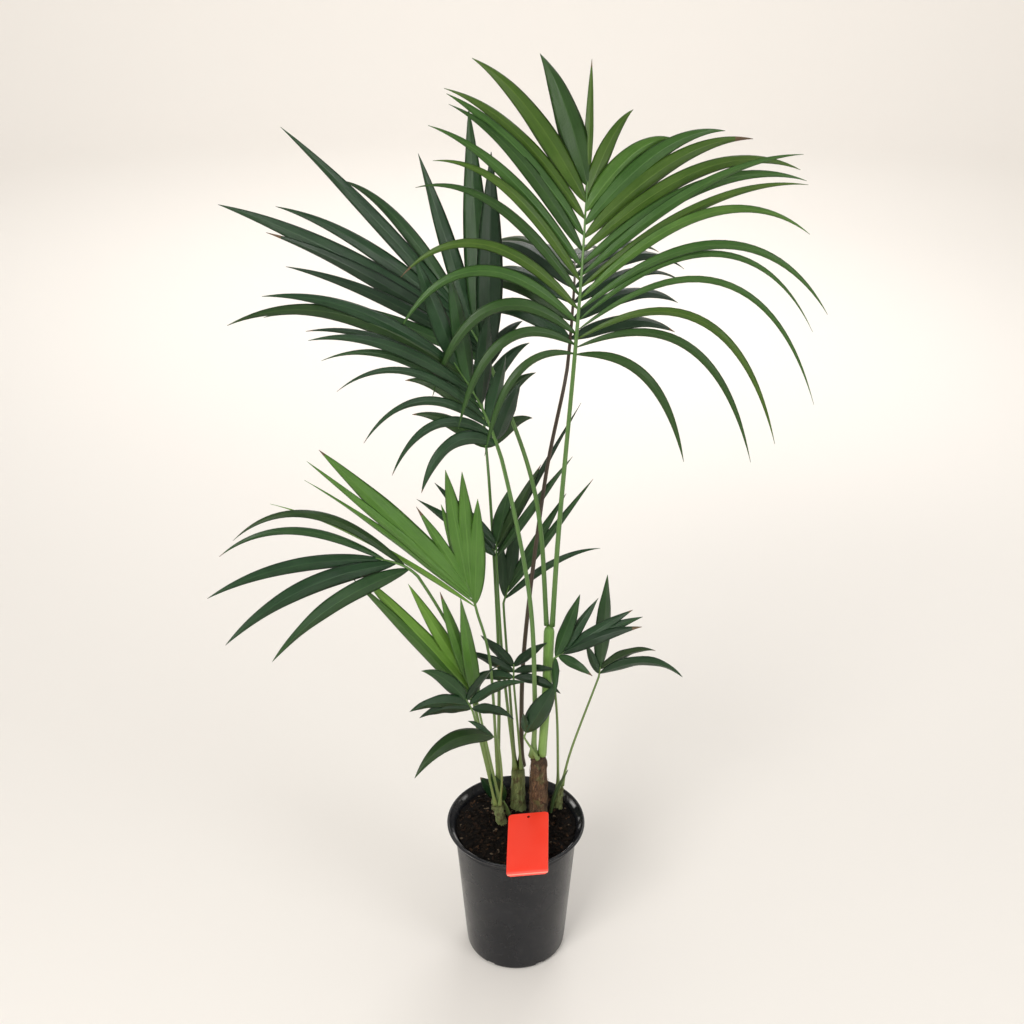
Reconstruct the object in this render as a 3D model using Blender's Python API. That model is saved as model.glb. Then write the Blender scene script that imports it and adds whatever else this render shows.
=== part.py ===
"""Kentia palm in a round nursery pot.

The pot stands on its flat underside at the origin, +Z up, and the plant is seen best from -Y.
Short sheathed stems rise from the soil, slender stalks rise from the stems, and each stalk
carries one frond: a tapering rib with leaflets fused to both of its sides.
"""
import math
import random

import bmesh
import bpy
from mathutils import Matrix, Vector
from mathutils.bvhtree import BVHTree

# Driving dimensions in metres
GAP = 0.0003
POT_HEIGHT = 0.270
RIM_RADIUS = 0.120
LIP_THICKNESS = 0.0045
BODY_RADIUS = 0.106
BASE_RADIUS = 0.088
FOOT_RADIUS = 0.082
FOOT_EDGE = (0.0042, 0.0012)
FOOT_RISE = 0.0075
WALL = 0.0022
FLOOR = 0.003
HEEL = 0.010
SHOULDER_DROP = 0.024
SHOULDER_Z = POT_HEIGHT - SHOULDER_DROP
SOIL_DROP = 0.010
SOIL_Z = POT_HEIGHT - SOIL_DROP
SOIL_CLEAR = 0.0009
SLOT_COUNT = 6
SLOT_SIZE = (0.016, 0.016, 0.014)
SLOT_START = math.radians(-61)
TAG_WIDTH = 0.070
TAG_LENGTH = 0.130
TAG_THICKNESS = 0.0016
TAG_HOLE = 0.0028
TAG_HOLE_INSET = 0.008
TAG_X = 0.0255
TAG_TURN = math.radians(-3)
TAG_ROLL = math.radians(-9)
TAG_HEAD_Y = -0.0115
TAG_HEAD_RISE = 0.016
TAG_PAST_RIM = 0.0015
TAG_LIFT = 0.0006
TAG_HANG = Vector((0.0, -0.88, -0.47))

# The lip's section, as steps in from the rim's radius and down from the pot's height
LIP_SECTION = ((0.0015, 0.0062), (0.0, 0.0040), (0.0010, 0.0008), (0.0024, 0.0), (LIP_THICKNESS, 0.0012))

# How finely the solids are faceted
POT_SIDES = 40
HOLE_SIDES = 16
TAG_RINGS = 8
STEM_SIDES = 8
LIMB_SIDES = 6
RIB_SIDES = 5
STALK_RINGS = 9
RIB_RINGS = 7
CURVE_STEPS = 16
SHARP = 50

# Habit of the leaflets
SEED = 17
UP = Vector((0.0, 0.0, 1.0))
DOWN = -UP
LONG_STATIONS = (0.05, 0.2, 0.4, 0.62, 0.84)
SHORT_STATIONS = (0.1, 0.42, 0.77)
SHORT_LEAF = 0.16
LEAF_BELLY = 0.38
LEAF_FULLNESS = 0.85
SLENDERNESS = 0.0112
FOLD = 0.13
GUARD = 0.0011
BEND_POWER = 1.6
BEND_STEPS = 24
TURN_SPREAD = 3
LIFT_SPREAD = 5
ROOM_SEARCH = (0, 7, -7, 14, -14, 21, -21, 28)

# Plain colours
PLASTIC_BLACK = (0.025, 0.026, 0.028)
SOIL_BLACK = (0.010, 0.007, 0.005)
TAG_RED = (0.93, 0.062, 0.025)
GREEN = (0.045, 0.125, 0.030)
DEEP_GREEN = (0.022, 0.070, 0.032)
YOUNG_GREEN = (0.110, 0.260, 0.045)
STALK_GREEN = (0.095, 0.210, 0.045)
SHEATH_BROWN = (0.110, 0.065, 0.032)

# A stem's section: the shares of its height where it has rings, and how far they swell or draw in
STEM_STATIONS = ((0.0, 1.28), (0.06, 1.10), (0.20, 1.0), (0.60, 1.0), (0.93, 1.0), (1.0, 0.92))

# The bright upper stem: where it stands on the main stem, its way up and its radii
SHARED_STAND = (0.0055, 0.001)
SHARED_WAY = ((0.051, 0.016, 0.530), (0.054, 0.020, 0.655))
SHARED_RADII = (0.0070, 0.0090)

# The rolled young leaf that rises from the soil on the right: its foot, its way up and its radii
SPEAR_FOOT = (0.060, 0.029)
SPEAR_WAY = ((0.070, 0.034, 0.300), (0.0905, 0.030, 0.353))
SPEAR_RADII = (0.0026, 0.0036, 0.0030, 0.0006)

# Stems: foot on the soil's plan, top, and radius at the foot and at the top
STEMS = {
    "stem_main": dict(foot=(0.040, 0.012), top=(0.039, 0.010, 0.400), radii=(0.0158, 0.0142)),
    "stem_middle": dict(foot=(0.004, 0.046), top=(0.004, 0.048, 0.345), radii=(0.0130, 0.0115)),
    "stem_left": dict(foot=(-0.030, 0.044), top=(-0.036, 0.040, 0.315), radii=(0.0120, 0.0100)),
    "stem_right": dict(foot=(0.074, 0.048), top=(0.078, 0.050, 0.300), radii=(0.0085, 0.0070)),
    "stem_front": dict(foot=(-0.024, 0.006), top=(-0.032, 0.004, 0.300), radii=(0.0095, 0.0080)),
    "stem_sprout": dict(foot=(-0.012, 0.026), top=(-0.014, 0.026, 0.262), radii=(0.0045, 0.0038)),
}


def leaflets(count, angle, length, droop, width, lift=12, low=0.10, crowd=1.0):
    """One side's leaflets; each tuple runs from the frond's throat to its tip.

    angle: degrees from the rib, length and width: metres, droop: how strongly the leaflet bends down,
    lift: degrees out of the rib's plane, low: the share of the rib where the leaflets begin, and
    crowd: over 1 it draws them to the throat.
    """
    return dict(count=count, angle=angle, length=length, droop=droop, width=width, lift=lift,
                low=low, crowd=crowd)


# Each frond: the stem and the place on its top that the stalk stands on, the stalk's way up to the
# throat, the rib's middle and end, the way the upper face looks, and the leaflets on both sides
FRONDS = {
    "tall": dict(
        stem="stalk_shared", stand=(0.0046, -0.002), via=((0.066, 0.006, 0.84),),
        throat=(0.082, -0.030, 1.129), rib=((0.091, 0.000, 1.250), (0.099, 0.052, 1.374)),
        face=(0.16, -0.92, 0.36), radii=(0.0043, 0.0030, 0.0011), colour="mid",
        left=leaflets(13, (92, 56, 48, 44, 42, 42, 42, 8),
                      (0.19, 0.29, 0.30, 0.28, 0.28, 0.28, 0.27, 0.17),
                      (5.6, 4.0, 1.9, 0.9, 0.7, 0.5, 0.7, 0.5),
                      (0.010, 0.019, 0.015, 0.017, 0.021, 0.022, 0.044), low=0.03, crowd=1.25),
        right=leaflets(16, (96, 54, 48, 45, 46, 46, 41, 24, -10),
                       (0.20, 0.43, 0.46, 0.40, 0.37, 0.36, 0.28, 0.14, 0.18),
                       (4.4, 3.7, 2.5, 1.4, 0.6, 1.0, 0.8, 1.0, -0.3),
                       (0.015, 0.013, 0.009, 0.015, 0.015, 0.022, 0.025, 0.027, 0.007),
                       low=0.03, crowd=1.25)),
    "back": dict(
        stem="stem_middle", stand=(0.0055, 0.0055), via=((0.013, 0.054, 0.58), (0.045, 0.070, 0.89)),
        throat=(0.078, 0.100, 1.070), rib=((0.092, 0.220, 1.170), (0.098, 0.380, 1.170)),
        face=(0.0, -0.3, 1.0), radii=(0.0040, 0.0028, 0.0011), colour="deep",
        left=leaflets(9, (62, 50, 40, 15), (0.16, 0.22, 0.20, 0.16), (1.0, 1.2, 1.0, 0.6), (0.026,)),
        right=leaflets(9, (62, 50, 40, 15), (0.16, 0.22, 0.20, 0.16), (1.0, 1.2, 1.0, 0.6), (0.026,))),
    "left_front": dict(
        stem="stem_main", stand=(-0.0092, -0.001), via=((0.031, 0.000, 0.527), (0.020, -0.020, 0.74)),
        throat=(-0.022, -0.040, 0.981), rib=((-0.051, -0.045, 1.067), (-0.089, -0.045, 1.135)),
        face=(0.30, -0.85, 0.46), radii=(0.0042, 0.0030, 0.0014), colour="deep",
        left=leaflets(10, (44, 34, 22, 24, 24, 22, 26), (0.16, 0.20, 0.27, 0.285, 0.29, 0.36, 0.26),
                      (3.6, 2.0, 1.1, 0.75, 0.7, 1.0, 0.4), (0.026, 0.016, 0.012, 0.016, 0.020, 0.024, 0.018)),
        right=leaflets(5, (44, 34, 20, 8), (0.09, 0.11, 0.17, 0.17), (0.3, 0.1, 0.0), (0.028, 0.030))),
    "left_back": dict(
        stem="stalk_shared", stand=(-0.0046, 0.001), via=((0.038, 0.020, 0.831), (0.016, 0.040, 0.939)),
        throat=(-0.035, 0.060, 1.078), rib=((-0.053, 0.075, 1.113), (-0.076, 0.095, 1.149)),
        face=(-0.20, -0.78, 0.6), radii=(0.0040, 0.0030, 0.0016), colour="deep",
        left=leaflets(6, (38, 36, 33, 31, 17, 4), (0.26, 0.31, 0.37, 0.47, 0.34, 0.475),
                      (0.4, 0.35, 0.35, 0.34, 0.6, -0.1), (0.020, 0.020, 0.026, 0.034, 0.020, 0.024)),
        right=leaflets(4, (26, 24, 8, -2), (0.26, 0.37, 0.26, 0.39), (0.0, 0.0, 0.15, 1.1),
                       (0.034, 0.044, 0.024, 0.020))),
    "centre": dict(
        stem="stem_middle", stand=(-0.0055, -0.0055), via=((-0.022, 0.050, 0.56),),
        throat=(-0.032, 0.060, 0.752), rib=((-0.032, 0.065, 0.768), (-0.032, 0.070, 0.784)),
        face=(0.0, -0.9, 0.4), radii=(0.0028, 0.0020, 0.0013), colour="deep",
        left=leaflets(3, (50, 42, 46), (0.17, 0.145, 0.12), (0.2, 0.1), (0.018, 0.020)),
        right=leaflets(4, (40, 31, 28, 2), (0.16, 0.30, 0.13, 0.06), (0.1, 0.0),
                       (0.022, 0.008, 0.022, 0.030))),
    "centre_low": dict(
        stem="stem_middle", stand=(-0.0055, 0.0055), via=((-0.010, 0.070, 0.48),),
        throat=(-0.021, 0.080, 0.660), rib=((-0.017, 0.083, 0.674), (-0.012, 0.086, 0.692)),
        face=(0.0, -0.9, 0.4), radii=(0.0026, 0.0020, 0.0013), colour="deep",
        left=leaflets(2, (24, 6), (0.11, 0.13), (0.1, 0.0), (0.018, 0.026)),
        right=leaflets(3, (38, 18, 12), (0.15, 0.24, 0.18), (1.0, 0.1, 0.0), (0.013, 0.017))),
    "young": dict(
        stem="stem_left", stand=(0.0048, -0.0048), via=((-0.042, 0.006, 0.585),),
        throat=(-0.062, -0.020, 0.705), rib=((-0.068, -0.020, 0.730), (-0.079, -0.020, 0.761)),
        face=(-0.25, -0.86, 0.46), radii=(0.0027, 0.0022, 0.0014), colour="young",
        left=leaflets(7, (33, 39, 27, 25, 8, -14, -4), (0.40, 0.32, 0.36, 0.33, 0.135, 0.155, 0.105),
                      (0.45, 0.1, 0.05, 0.0), (0.011, 0.013, 0.016, 0.038, 0.018, 0.019, 0.019)),
        right=leaflets(3, (12, 18, 14), (0.175, 0.22, 0.20), (0.0,), (0.032,))),
    "shoot": dict(
        stem="stem_front", stand=(0.0038, 0.0038), via=((-0.045, 0.004, 0.40),),
        throat=(-0.061, 0.000, 0.496), rib=((-0.066, 0.000, 0.524), (-0.074, 0.000, 0.555)),
        face=(0.20, -0.87, 0.46), radii=(0.0024, 0.0020, 0.0013), colour="young",
        left=leaflets(3, (29, 22, 6), (0.36, 0.33, 0.23), (0.1, 0.0), (0.018, 0.028, 0.024)),
        right=leaflets(2, (2, 0), (0.26, 0.23), (0.0,), (0.026, 0.022))),
    "low_left": dict(
        stem="stem_left", stand=(-0.0048, -0.0048), via=((-0.061, 0.020, 0.447), (-0.095, 0.000, 0.629)),
        throat=(-0.152, -0.040, 0.782), rib=((-0.176, -0.045, 0.805), (-0.214, -0.055, 0.823)),
        face=(0.30, -0.74, 0.60), radii=(0.0030, 0.0024, 0.0014), colour="deep",
        left=leaflets(3, (62, 29, 4), (0.26, 0.305, 0.24), (0.95, 0.8, 0.65), (0.029, 0.027, 0.018)),
        right=leaflets(2, (-2, 14), (0.32, 0.27), (1.45, 1.15), (0.016, 0.013))),
    "low_front": dict(
        stem="stem_front", stand=(-0.0038, -0.0038), via=((-0.050, -0.020, 0.40),),
        throat=(-0.070, -0.050, 0.533), rib=((-0.075, -0.052, 0.548), (-0.081, -0.055, 0.563)),
        face=(0.0, -0.75, 0.65), radii=(0.0022, 0.0018, 0.0012), colour="deep",
        left=leaflets(3, (48, 38, -7), (0.095, 0.11, 0.12), (0.8, 0.6), (0.026, 0.024)),
        right=leaflets(3, (128, 70, 36), (0.066, 0.10, 0.09), (1.0, 0.8, 0.5), (0.022, 0.020))),
    "inner": dict(
        stem="stem_middle", stand=(0.0055, -0.0055), via=((0.003, 0.036, 0.44),),
        throat=(-0.004, 0.020, 0.544), rib=((-0.004, 0.020, 0.560), (-0.004, 0.020, 0.580)),
        face=(0.0, -0.8, 0.6), radii=(0.0022, 0.0018, 0.0012), colour="deep",
        left=leaflets(3, (84, 56, 26), (0.07, 0.09, 0.09), (0.8, 0.3, 0.1), (0.022, 0.018)),
        right=leaflets(3, (84, 60, 30), (0.08, 0.09, 0.07), (1.2, 0.5, 0.2), (0.020, 0.018))),
    "right": dict(
        stem="stem_right", stand=(-0.0033, -0.0033), via=((0.070, 0.030, 0.46),),
        throat=(0.060, 0.000, 0.601), rib=((0.070, 0.000, 0.611), (0.081, 0.000, 0.619)),
        face=(-0.25, -0.77, 0.60), radii=(0.0024, 0.0019, 0.0012), colour="deep",
        left=leaflets(3, (32, 20, -7), (0.11, 0.115, 0.14), (0.0, 0.1, 0.2), (0.024, 0.020)),
        right=leaflets(4, (150, 66, 0, 3), (0.065, 0.06, 0.15, 0.13), (0.4, 0.3, 0.4, 0.2),
                       (0.012, 0.020, 0.020))),
    "far_right": dict(
        stem="stem_right", stand=(0.0033, 0.0033), via=((0.098, 0.065, 0.373),),
        throat=(0.142, 0.080, 0.513), rib=((0.143, 0.080, 0.523), (0.144, 0.080, 0.534)),
        face=(0.25, -0.82, 0.5), radii=(0.0022, 0.0018, 0.0012), colour="deep",
        left=leaflets(2, (40, -9), (0.024, 0.25), (0.0,), (0.008, 0.036)),
        right=leaflets(2, (59, 37), (0.18, 0.086), (1.9, 0.5), (0.026, 0.020))),
    "rear": dict(
        stem="stem_left", stand=(0.0048, 0.0048), via=((-0.030, 0.090, 0.56),),
        throat=(-0.045, 0.150, 0.860), rib=((-0.060, 0.230, 0.990), (-0.080, 0.340, 1.040)),
        face=(0.0, -0.5, 1.0), radii=(0.0032, 0.0024, 0.0011), colour="deep",
        left=leaflets(6, (50, 42, 34, 14), (0.12, 0.17, 0.17, 0.14), (0.8, 0.8, 0.7, 0.5), (0.024,)),
        right=leaflets(6, (46, 38, 30, 14), (0.09, 0.13, 0.15, 0.14), (0.8, 0.8, 0.7, 0.5), (0.024,))),
    "lowest": dict(
        stem="stem_front", stand=(0.0038, -0.0038), via=((-0.024, -0.020, 0.38),),
        throat=(-0.030, -0.045, 0.474), rib=((-0.036, -0.050, 0.484), (-0.046, -0.054, 0.490)),
        face=(0.0, -0.4, 0.9), radii=(0.0020, 0.0016, 0.0012), colour="deep",
        left=leaflets(1, (14,), (0.185,), (1.3,), (0.030,)),
        right=leaflets(1, (16,), (0.06,), (0.5,), (0.014,))),
    "inner_low": dict(
        stem="stem_main", stand=(-0.002, -0.0105), via=((0.026, -0.004, 0.425),),
        throat=(0.014, -0.004, 0.448), rib=((0.016, -0.006, 0.458), (0.020, -0.008, 0.468)),
        face=(0.0, -0.9, 0.4), radii=(0.0020, 0.0017, 0.0012), colour="deep",
        left=leaflets(1, (22,), (0.05,), (0.3,), (0.016,)),
        right=leaflets(1, (4,), (0.135,), (0.0,), (0.036,))),
    "sprout": dict(
        stem="stem_sprout", stand=(0.0, 0.0), via=((-0.0155, 0.0255, 0.270),),
        throat=(-0.018, 0.025, 0.280), rib=((-0.021, 0.0245, 0.288), (-0.024, 0.024, 0.296)),
        face=(0.0, -0.9, 0.3), radii=(0.0018, 0.0015, 0.0010), colour="deep",
        left=leaflets(1, (10,), (0.075,), (0.1,), (0.030,)),
        right=leaflets(1, (4,), (0.070,), (0.0,), (0.026,))),
}


def clear_scene():
    """Remove every object that the file holds."""
    for item in list(bpy.data.objects):
        bpy.data.objects.remove(item, do_unlink=True)


def material(name, colour, roughness):
    """A plain shaded material with the part's colour."""
    made = bpy.data.materials.new(name)
    made.use_nodes = True
    shader = made.node_tree.nodes["Principled BSDF"]
    shader.inputs["Base Color"].default_value = (*colour, 1.0)
    shader.inputs["Roughness"].default_value = roughness
    made.diffuse_color = (*colour, 1.0)
    return made


def make_object(name, bm, finish, collection=None, smooth=None):
    """Put a mesh under a name, with its faces pointing out."""
    bmesh.ops.recalc_face_normals(bm, faces=bm.faces)
    mesh = bpy.data.meshes.new(name)
    bm.to_mesh(mesh)
    bm.free()
    made = bpy.data.objects.new(name, mesh)
    mesh.materials.append(finish)
    if smooth:
        mesh.shade_smooth()
        mesh.set_sharp_from_angle(angle=math.radians(smooth))
    (collection or bpy.context.scene.collection).objects.link(made)
    return made


def profile_at(values, share):
    """Read a profile given as evenly spaced values, at a share of its run from 0 to 1."""
    if len(values) == 1:
        return values[0]
    place = min(max(share, 0.0), 1.0) * (len(values) - 1)
    low = min(int(place), len(values) - 2)
    return values[low] + (values[low + 1] - values[low]) * (place - low)


def smooth_path(points, count, before=None, after=None):
    """Evenly placed points on a smooth curve through the given ones, which may carry on a curve."""
    knots = [Vector(p) for p in points]
    first = Vector(before) if before else knots[0] * 2 - knots[1]
    last = Vector(after) if after else knots[-1] * 2 - knots[-2]
    knots = [first] + knots + [last]
    fine = []
    for i in range(1, len(knots) - 2):
        before, start, end, after = knots[i - 1:i + 3]
        for step in range(CURVE_STEPS):
            t = step / CURVE_STEPS
            fine.append(0.5 * (2 * start + (end - before) * t
                               + (2 * before - 5 * start + 4 * end - after) * t * t
                               + (3 * start - before - 3 * end + after) * t ** 3))
    fine.append(knots[-2])
    run = [0.0]
    for a, b in zip(fine, fine[1:]):
        run.append(run[-1] + (b - a).length)
    path = []
    k = 0
    for i in range(count):
        goal = run[-1] * i / (count - 1)
        while k < len(fine) - 2 and run[k + 1] < goal:
            k += 1
        share = (goal - run[k]) / max(run[k + 1] - run[k], 1e-9)
        path.append(fine[k].lerp(fine[k + 1], min(share, 1.0)))
    return path


def ring_frames(path, side, first=None, last=None):
    """A heading and two cross axes at each point, carried along without twist."""
    headings = [path[min(i + 1, len(path) - 1)] - path[max(i - 1, 0)] for i in range(len(path))]
    headings[0] = first or headings[0]
    headings[-1] = last or headings[-1]
    frames = []
    heading = headings[0].normalized()
    across = (side - side.dot(heading) * heading).normalized()
    for ahead in headings:
        turned = ahead.normalized()
        across.rotate(heading.rotation_difference(turned))
        heading = turned
        frames.append((heading, across.copy(), heading.cross(across)))
    return frames


def loft(bm, rings):
    """Join rings of points into one closed skin; a ring of one point closes to it."""
    loops = [[bm.verts.new(p) for p in ring] for ring in rings]
    for low, high in zip(loops, loops[1:]):
        sides = max(len(low), len(high))
        for i in range(sides):
            j = (i + 1) % sides
            if len(low) == 1:
                bm.faces.new((low[0], high[j], high[i]))
            elif len(high) == 1:
                bm.faces.new((low[i], low[j], high[0]))
            else:
                bm.faces.new((low[i], low[j], high[j], high[i]))
    for loop, flip in ((loops[0], True), (loops[-1], False)):
        if len(loop) > 2:
            bm.faces.new(loop[::-1] if flip else loop)


def ring(centre, radius, sides, across=Vector((1.0, 0.0, 0.0)), up=Vector((0.0, 1.0, 0.0))):
    """Points round a circle that lies in the plane of two axes."""
    turns = [2 * math.pi * k / sides for k in range(sides)]
    return [centre + radius * (math.cos(a) * across + math.sin(a) * up) for a in turns]


def limb(name, path, radii, sides, finish, first=None, last=None):
    """One tapering limb with flat ends, square to the first and last headings where given."""
    rings = []
    for i, (heading, across, up) in enumerate(ring_frames(path, Vector((1.0, 0.0, 0.0)), first, last)):
        rings.append(ring(path[i], profile_at(radii, i / (len(path) - 1)), sides, across, up))
    bm = bmesh.new()
    loft(bm, rings)
    return make_object(name, bm, finish, smooth=SHARP)


def turned(name, profile, finish):
    """A body turned about the Z axis from radii and heights, closed by a flat disc at both ends."""
    bm = bmesh.new()
    loft(bm, [ring(UP * height, radius, POT_SIDES) for radius, height in profile])
    return make_object(name, bm, finish, smooth=SHARP)


def inner_radius(height):
    """The inside radius of the pot's wall at a height."""
    if height > SHOULDER_Z:
        rise = (height - SHOULDER_Z) / SHOULDER_DROP
        return BODY_RADIUS - WALL + (RIM_RADIUS - LIP_THICKNESS - BODY_RADIUS + WALL) * rise ** 2
    return BASE_RADIUS + (BODY_RADIUS - BASE_RADIUS) * height / SHOULDER_Z - WALL


def build_pot(finish):
    """The thin moulded shell with its flared rim, rounded foot and drainage slots."""
    outer = [(FOOT_RADIUS, 0.0), (FOOT_RADIUS + FOOT_EDGE[0], FOOT_EDGE[1]), (BASE_RADIUS, FOOT_RISE),
             (BODY_RADIUS, SHOULDER_Z)]
    for share in (0.35, 0.7):
        height = SHOULDER_Z + SHOULDER_DROP * share
        outer.append((inner_radius(height) + WALL, height))
    lip = [(RIM_RADIUS - inward, POT_HEIGHT - down) for inward, down in LIP_SECTION]
    inner = [(inner_radius(height), height) for height in (POT_HEIGHT - HEEL, SHOULDER_Z, HEEL)]
    inner.append((FOOT_RADIUS, FLOOR))
    pot = turned("pot", outer + lip + inner, finish)
    slots = bpy.data.collections.new("drain_slots")
    bpy.context.scene.collection.children.link(slots)
    for k in range(SLOT_COUNT):
        bm = bmesh.new()
        bmesh.ops.create_cube(bm, size=1.0)
        bmesh.ops.scale(bm, vec=SLOT_SIZE, verts=bm.verts)
        bmesh.ops.translate(bm, vec=(FOOT_RADIUS + SLOT_SIZE[0] * 0.3, 0.0, 0.0), verts=bm.verts)
        turn = Matrix.Rotation(SLOT_START + 2 * math.pi * k / SLOT_COUNT, 4, "Z")
        bmesh.ops.transform(bm, matrix=turn, verts=bm.verts)
        make_object(f"slot_cutter_{k}", bm, finish, slots)
    cut = pot.modifiers.new("slots", "BOOLEAN")
    cut.operation = "DIFFERENCE"
    cut.operand_type = "COLLECTION"
    cut.collection = slots
    bpy.context.view_layer.update()
    apply_modifiers(pot)
    remove_collection(slots)
    return pot


def build_soil(finish):
    """The potting soil: it fills the pot and stops a little under the rim."""
    outline = [(FOOT_RADIUS - SOIL_CLEAR, FLOOR + GAP)]
    outline += [(inner_radius(height) - SOIL_CLEAR, height) for height in (HEEL, SHOULDER_Z, SOIL_Z)]
    return turned("soil", outline, finish)


def build_tag(finish):
    """The plain care tag: a strip with a round hole, from the main stem out over the rim."""
    head = Vector((0.0, TAG_HEAD_Y, POT_HEIGHT + TAG_HEAD_RISE))
    bend = Vector((0.0, -RIM_RADIUS - TAG_PAST_RIM, POT_HEIGHT + TAG_LIFT))
    tail = bend + TAG_HANG * (TAG_LENGTH - (bend - head).length)
    path = smooth_path((head, bend, tail), TAG_RINGS)
    bm = bmesh.new()
    rings = []
    for point, (heading, across, up) in zip(path, ring_frames(path, Vector((1.0, 0.0, 0.0)))):
        half = across * TAG_WIDTH / 2
        thick = up * TAG_THICKNESS / 2
        rings.append([point - half - thick, point + half - thick, point + half + thick, point - half + thick])
    loft(bm, rings)
    hinge = Vector((-TAG_WIDTH / 2, 0.0, POT_HEIGHT))
    place = (Matrix.Translation((TAG_X, 0.0, 0.0)) @ Matrix.Rotation(TAG_TURN, 4, "Z")
             @ Matrix.Translation(hinge) @ Matrix.Rotation(TAG_ROLL, 4, "Y") @ Matrix.Translation(-hinge))
    bmesh.ops.transform(bm, matrix=place, verts=bm.verts)
    tag = make_object("care_tag", bm, finish)
    bm = bmesh.new()
    bmesh.ops.create_cone(bm, cap_ends=True, segments=HOLE_SIDES, radius1=TAG_HOLE, radius2=TAG_HOLE,
                          depth=TAG_LENGTH / 10)
    centre = place @ path[0].lerp(path[-1], TAG_HOLE_INSET / TAG_LENGTH)
    bmesh.ops.translate(bm, vec=centre, verts=bm.verts)
    cutter = make_object("hole_cutter", bm, finish)
    cut = tag.modifiers.new("hole", "BOOLEAN")
    cut.operation = "DIFFERENCE"
    cut.object = cutter
    apply_modifiers(tag)
    bpy.data.objects.remove(cutter, do_unlink=True)
    return tag


def apply_modifiers(item):
    """Replace an object's mesh with the one that its modifiers make."""
    shaped = item.evaluated_get(bpy.context.evaluated_depsgraph_get())
    mesh = bpy.data.meshes.new_from_object(shaped)
    item.modifiers.clear()
    item.data = mesh


def remove_collection(collection):
    """Remove a collection of cutters or leaflets with the objects in it."""
    for item in list(collection.objects):
        bpy.data.objects.remove(item, do_unlink=True)
    bpy.data.collections.remove(collection)


def build_stem(name, stem, finish):
    """A short sheathed stem, flared where it meets the soil."""
    foot = Vector((*stem["foot"], SOIL_Z + GAP))
    top = Vector(stem["top"])
    rings = []
    for share, swell in STEM_STATIONS:
        rings.append(ring(foot.lerp(top, share), profile_at(stem["radii"], share) * swell, STEM_SIDES))
    bm = bmesh.new()
    loft(bm, rings)
    return make_object(name, bm, finish, smooth=SHARP)


def leaf_shape(share, width):
    """How wide a leaflet is at a share of its length."""
    power = math.log(0.5) / math.log(LEAF_BELLY)
    return width * math.sin(math.pi * share ** power) ** LEAF_FULLNESS


def leaf_points(leaf):
    """Middle points and frames down a leaflet that bends to the ground as its droop grows."""
    aim = leaf["aim"]
    heading = aim.normalized()
    upper = (leaf["face"] - leaf["face"].dot(heading) * heading).normalized()
    across = heading.cross(upper)
    point = leaf["root"].copy()
    frames = []
    for i in range(BEND_STEPS + 1):
        frames.append((point.copy(), heading.copy(), across.copy()))
        turned_to = (aim + DOWN * leaf["droop"] * ((i + 0.5) / BEND_STEPS) ** BEND_POWER).normalized()
        across.rotate(heading.rotation_difference(turned_to))
        heading = turned_to
        point += heading * leaf["length"] / BEND_STEPS
    return frames


def leaflet_skin(leaf, guard=0.0):
    """The closed skin of one leaflet: two half blades that slope from a ridge, sharp at both ends."""
    frames = leaf_points(leaf)
    rings = [[frames[0][0]]]
    for station in SHORT_STATIONS if leaf["length"] < SHORT_LEAF else LONG_STATIONS:
        point, heading, across = frames[round(station * BEND_STEPS)]
        half = leaf_shape(station, leaf["width"]) / 2 + guard
        depth = max(leaf["length"] * SLENDERNESS, 2 * half * FOLD)
        upper = across.cross(heading) * (depth / 2 + guard)
        rings.append([point - across * half - upper, point + across * half - upper, point + upper])
    rings.append([frames[-1][0]])
    return rings


def tree_of(rings):
    """A search tree of a skin, for finding what it touches."""
    bm = bmesh.new()
    loft(bm, rings)
    bmesh.ops.triangulate(bm, faces=bm.faces)
    tree = BVHTree.FromBMesh(bm)
    bm.free()
    return tree


def side_leaves(side, spec, path, frames, chance):
    """The leaflets of one side of a rib, before any of them is moved for room."""
    leaves = []
    for i in range(spec["count"]):
        share = (i + 0.5) / spec["count"]
        place = spec["low"] + (1.0 - spec["low"]) * share ** spec["crowd"]
        seat = place * (len(path) - 1)
        low = min(int(seat), len(path) - 2)
        root = path[low].lerp(path[low + 1], seat - low)
        forward, across, upper = frames[low]
        angle = math.radians(profile_at(spec["angle"], share) + chance.uniform(-TURN_SPREAD, TURN_SPREAD))
        lift = math.radians(spec["lift"] + chance.uniform(-LIFT_SPREAD, LIFT_SPREAD))
        out = across * side * math.cos(lift) + upper * math.sin(lift)
        leaves.append(dict(
            root=root, upper=upper, face=upper, aim=forward * math.cos(angle) + out * math.sin(angle),
            length=profile_at(spec["length"], share) * chance.uniform(0.95, 1.05),
            droop=profile_at(spec["droop"], share) * chance.uniform(0.9, 1.1),
            width=profile_at(spec["width"], share) * chance.uniform(0.92, 1.08)))
    return leaves


def find_room(leaf, obstacles):
    """Lift or lower a leaflet until it is clear of the other parts; None if it never is."""
    for turn in ROOM_SEARCH:
        tilt = math.radians(turn)
        aim = leaf["aim"] * math.cos(tilt) + leaf["upper"] * math.sin(tilt)
        face = leaf["upper"] * math.cos(tilt) - leaf["aim"] * math.sin(tilt)
        moved = dict(leaf, aim=aim, face=face)
        tree = tree_of(leaflet_skin(moved, GUARD))
        if not any(tree.overlap(other) for other in obstacles):
            return moved
    return None


def throat_heading(frond):
    """The way that stalk and rib share where they meet."""
    return (Vector(frond["rib"][0]) - Vector(frond["via"][-1])).normalized()


def rib_lead(frond):
    """A point under the throat that starts the rib's curve the way that the stalk comes up."""
    throat = Vector(frond["throat"])
    return throat - throat_heading(frond) * (Vector(frond["rib"][0]) - throat).length


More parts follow.
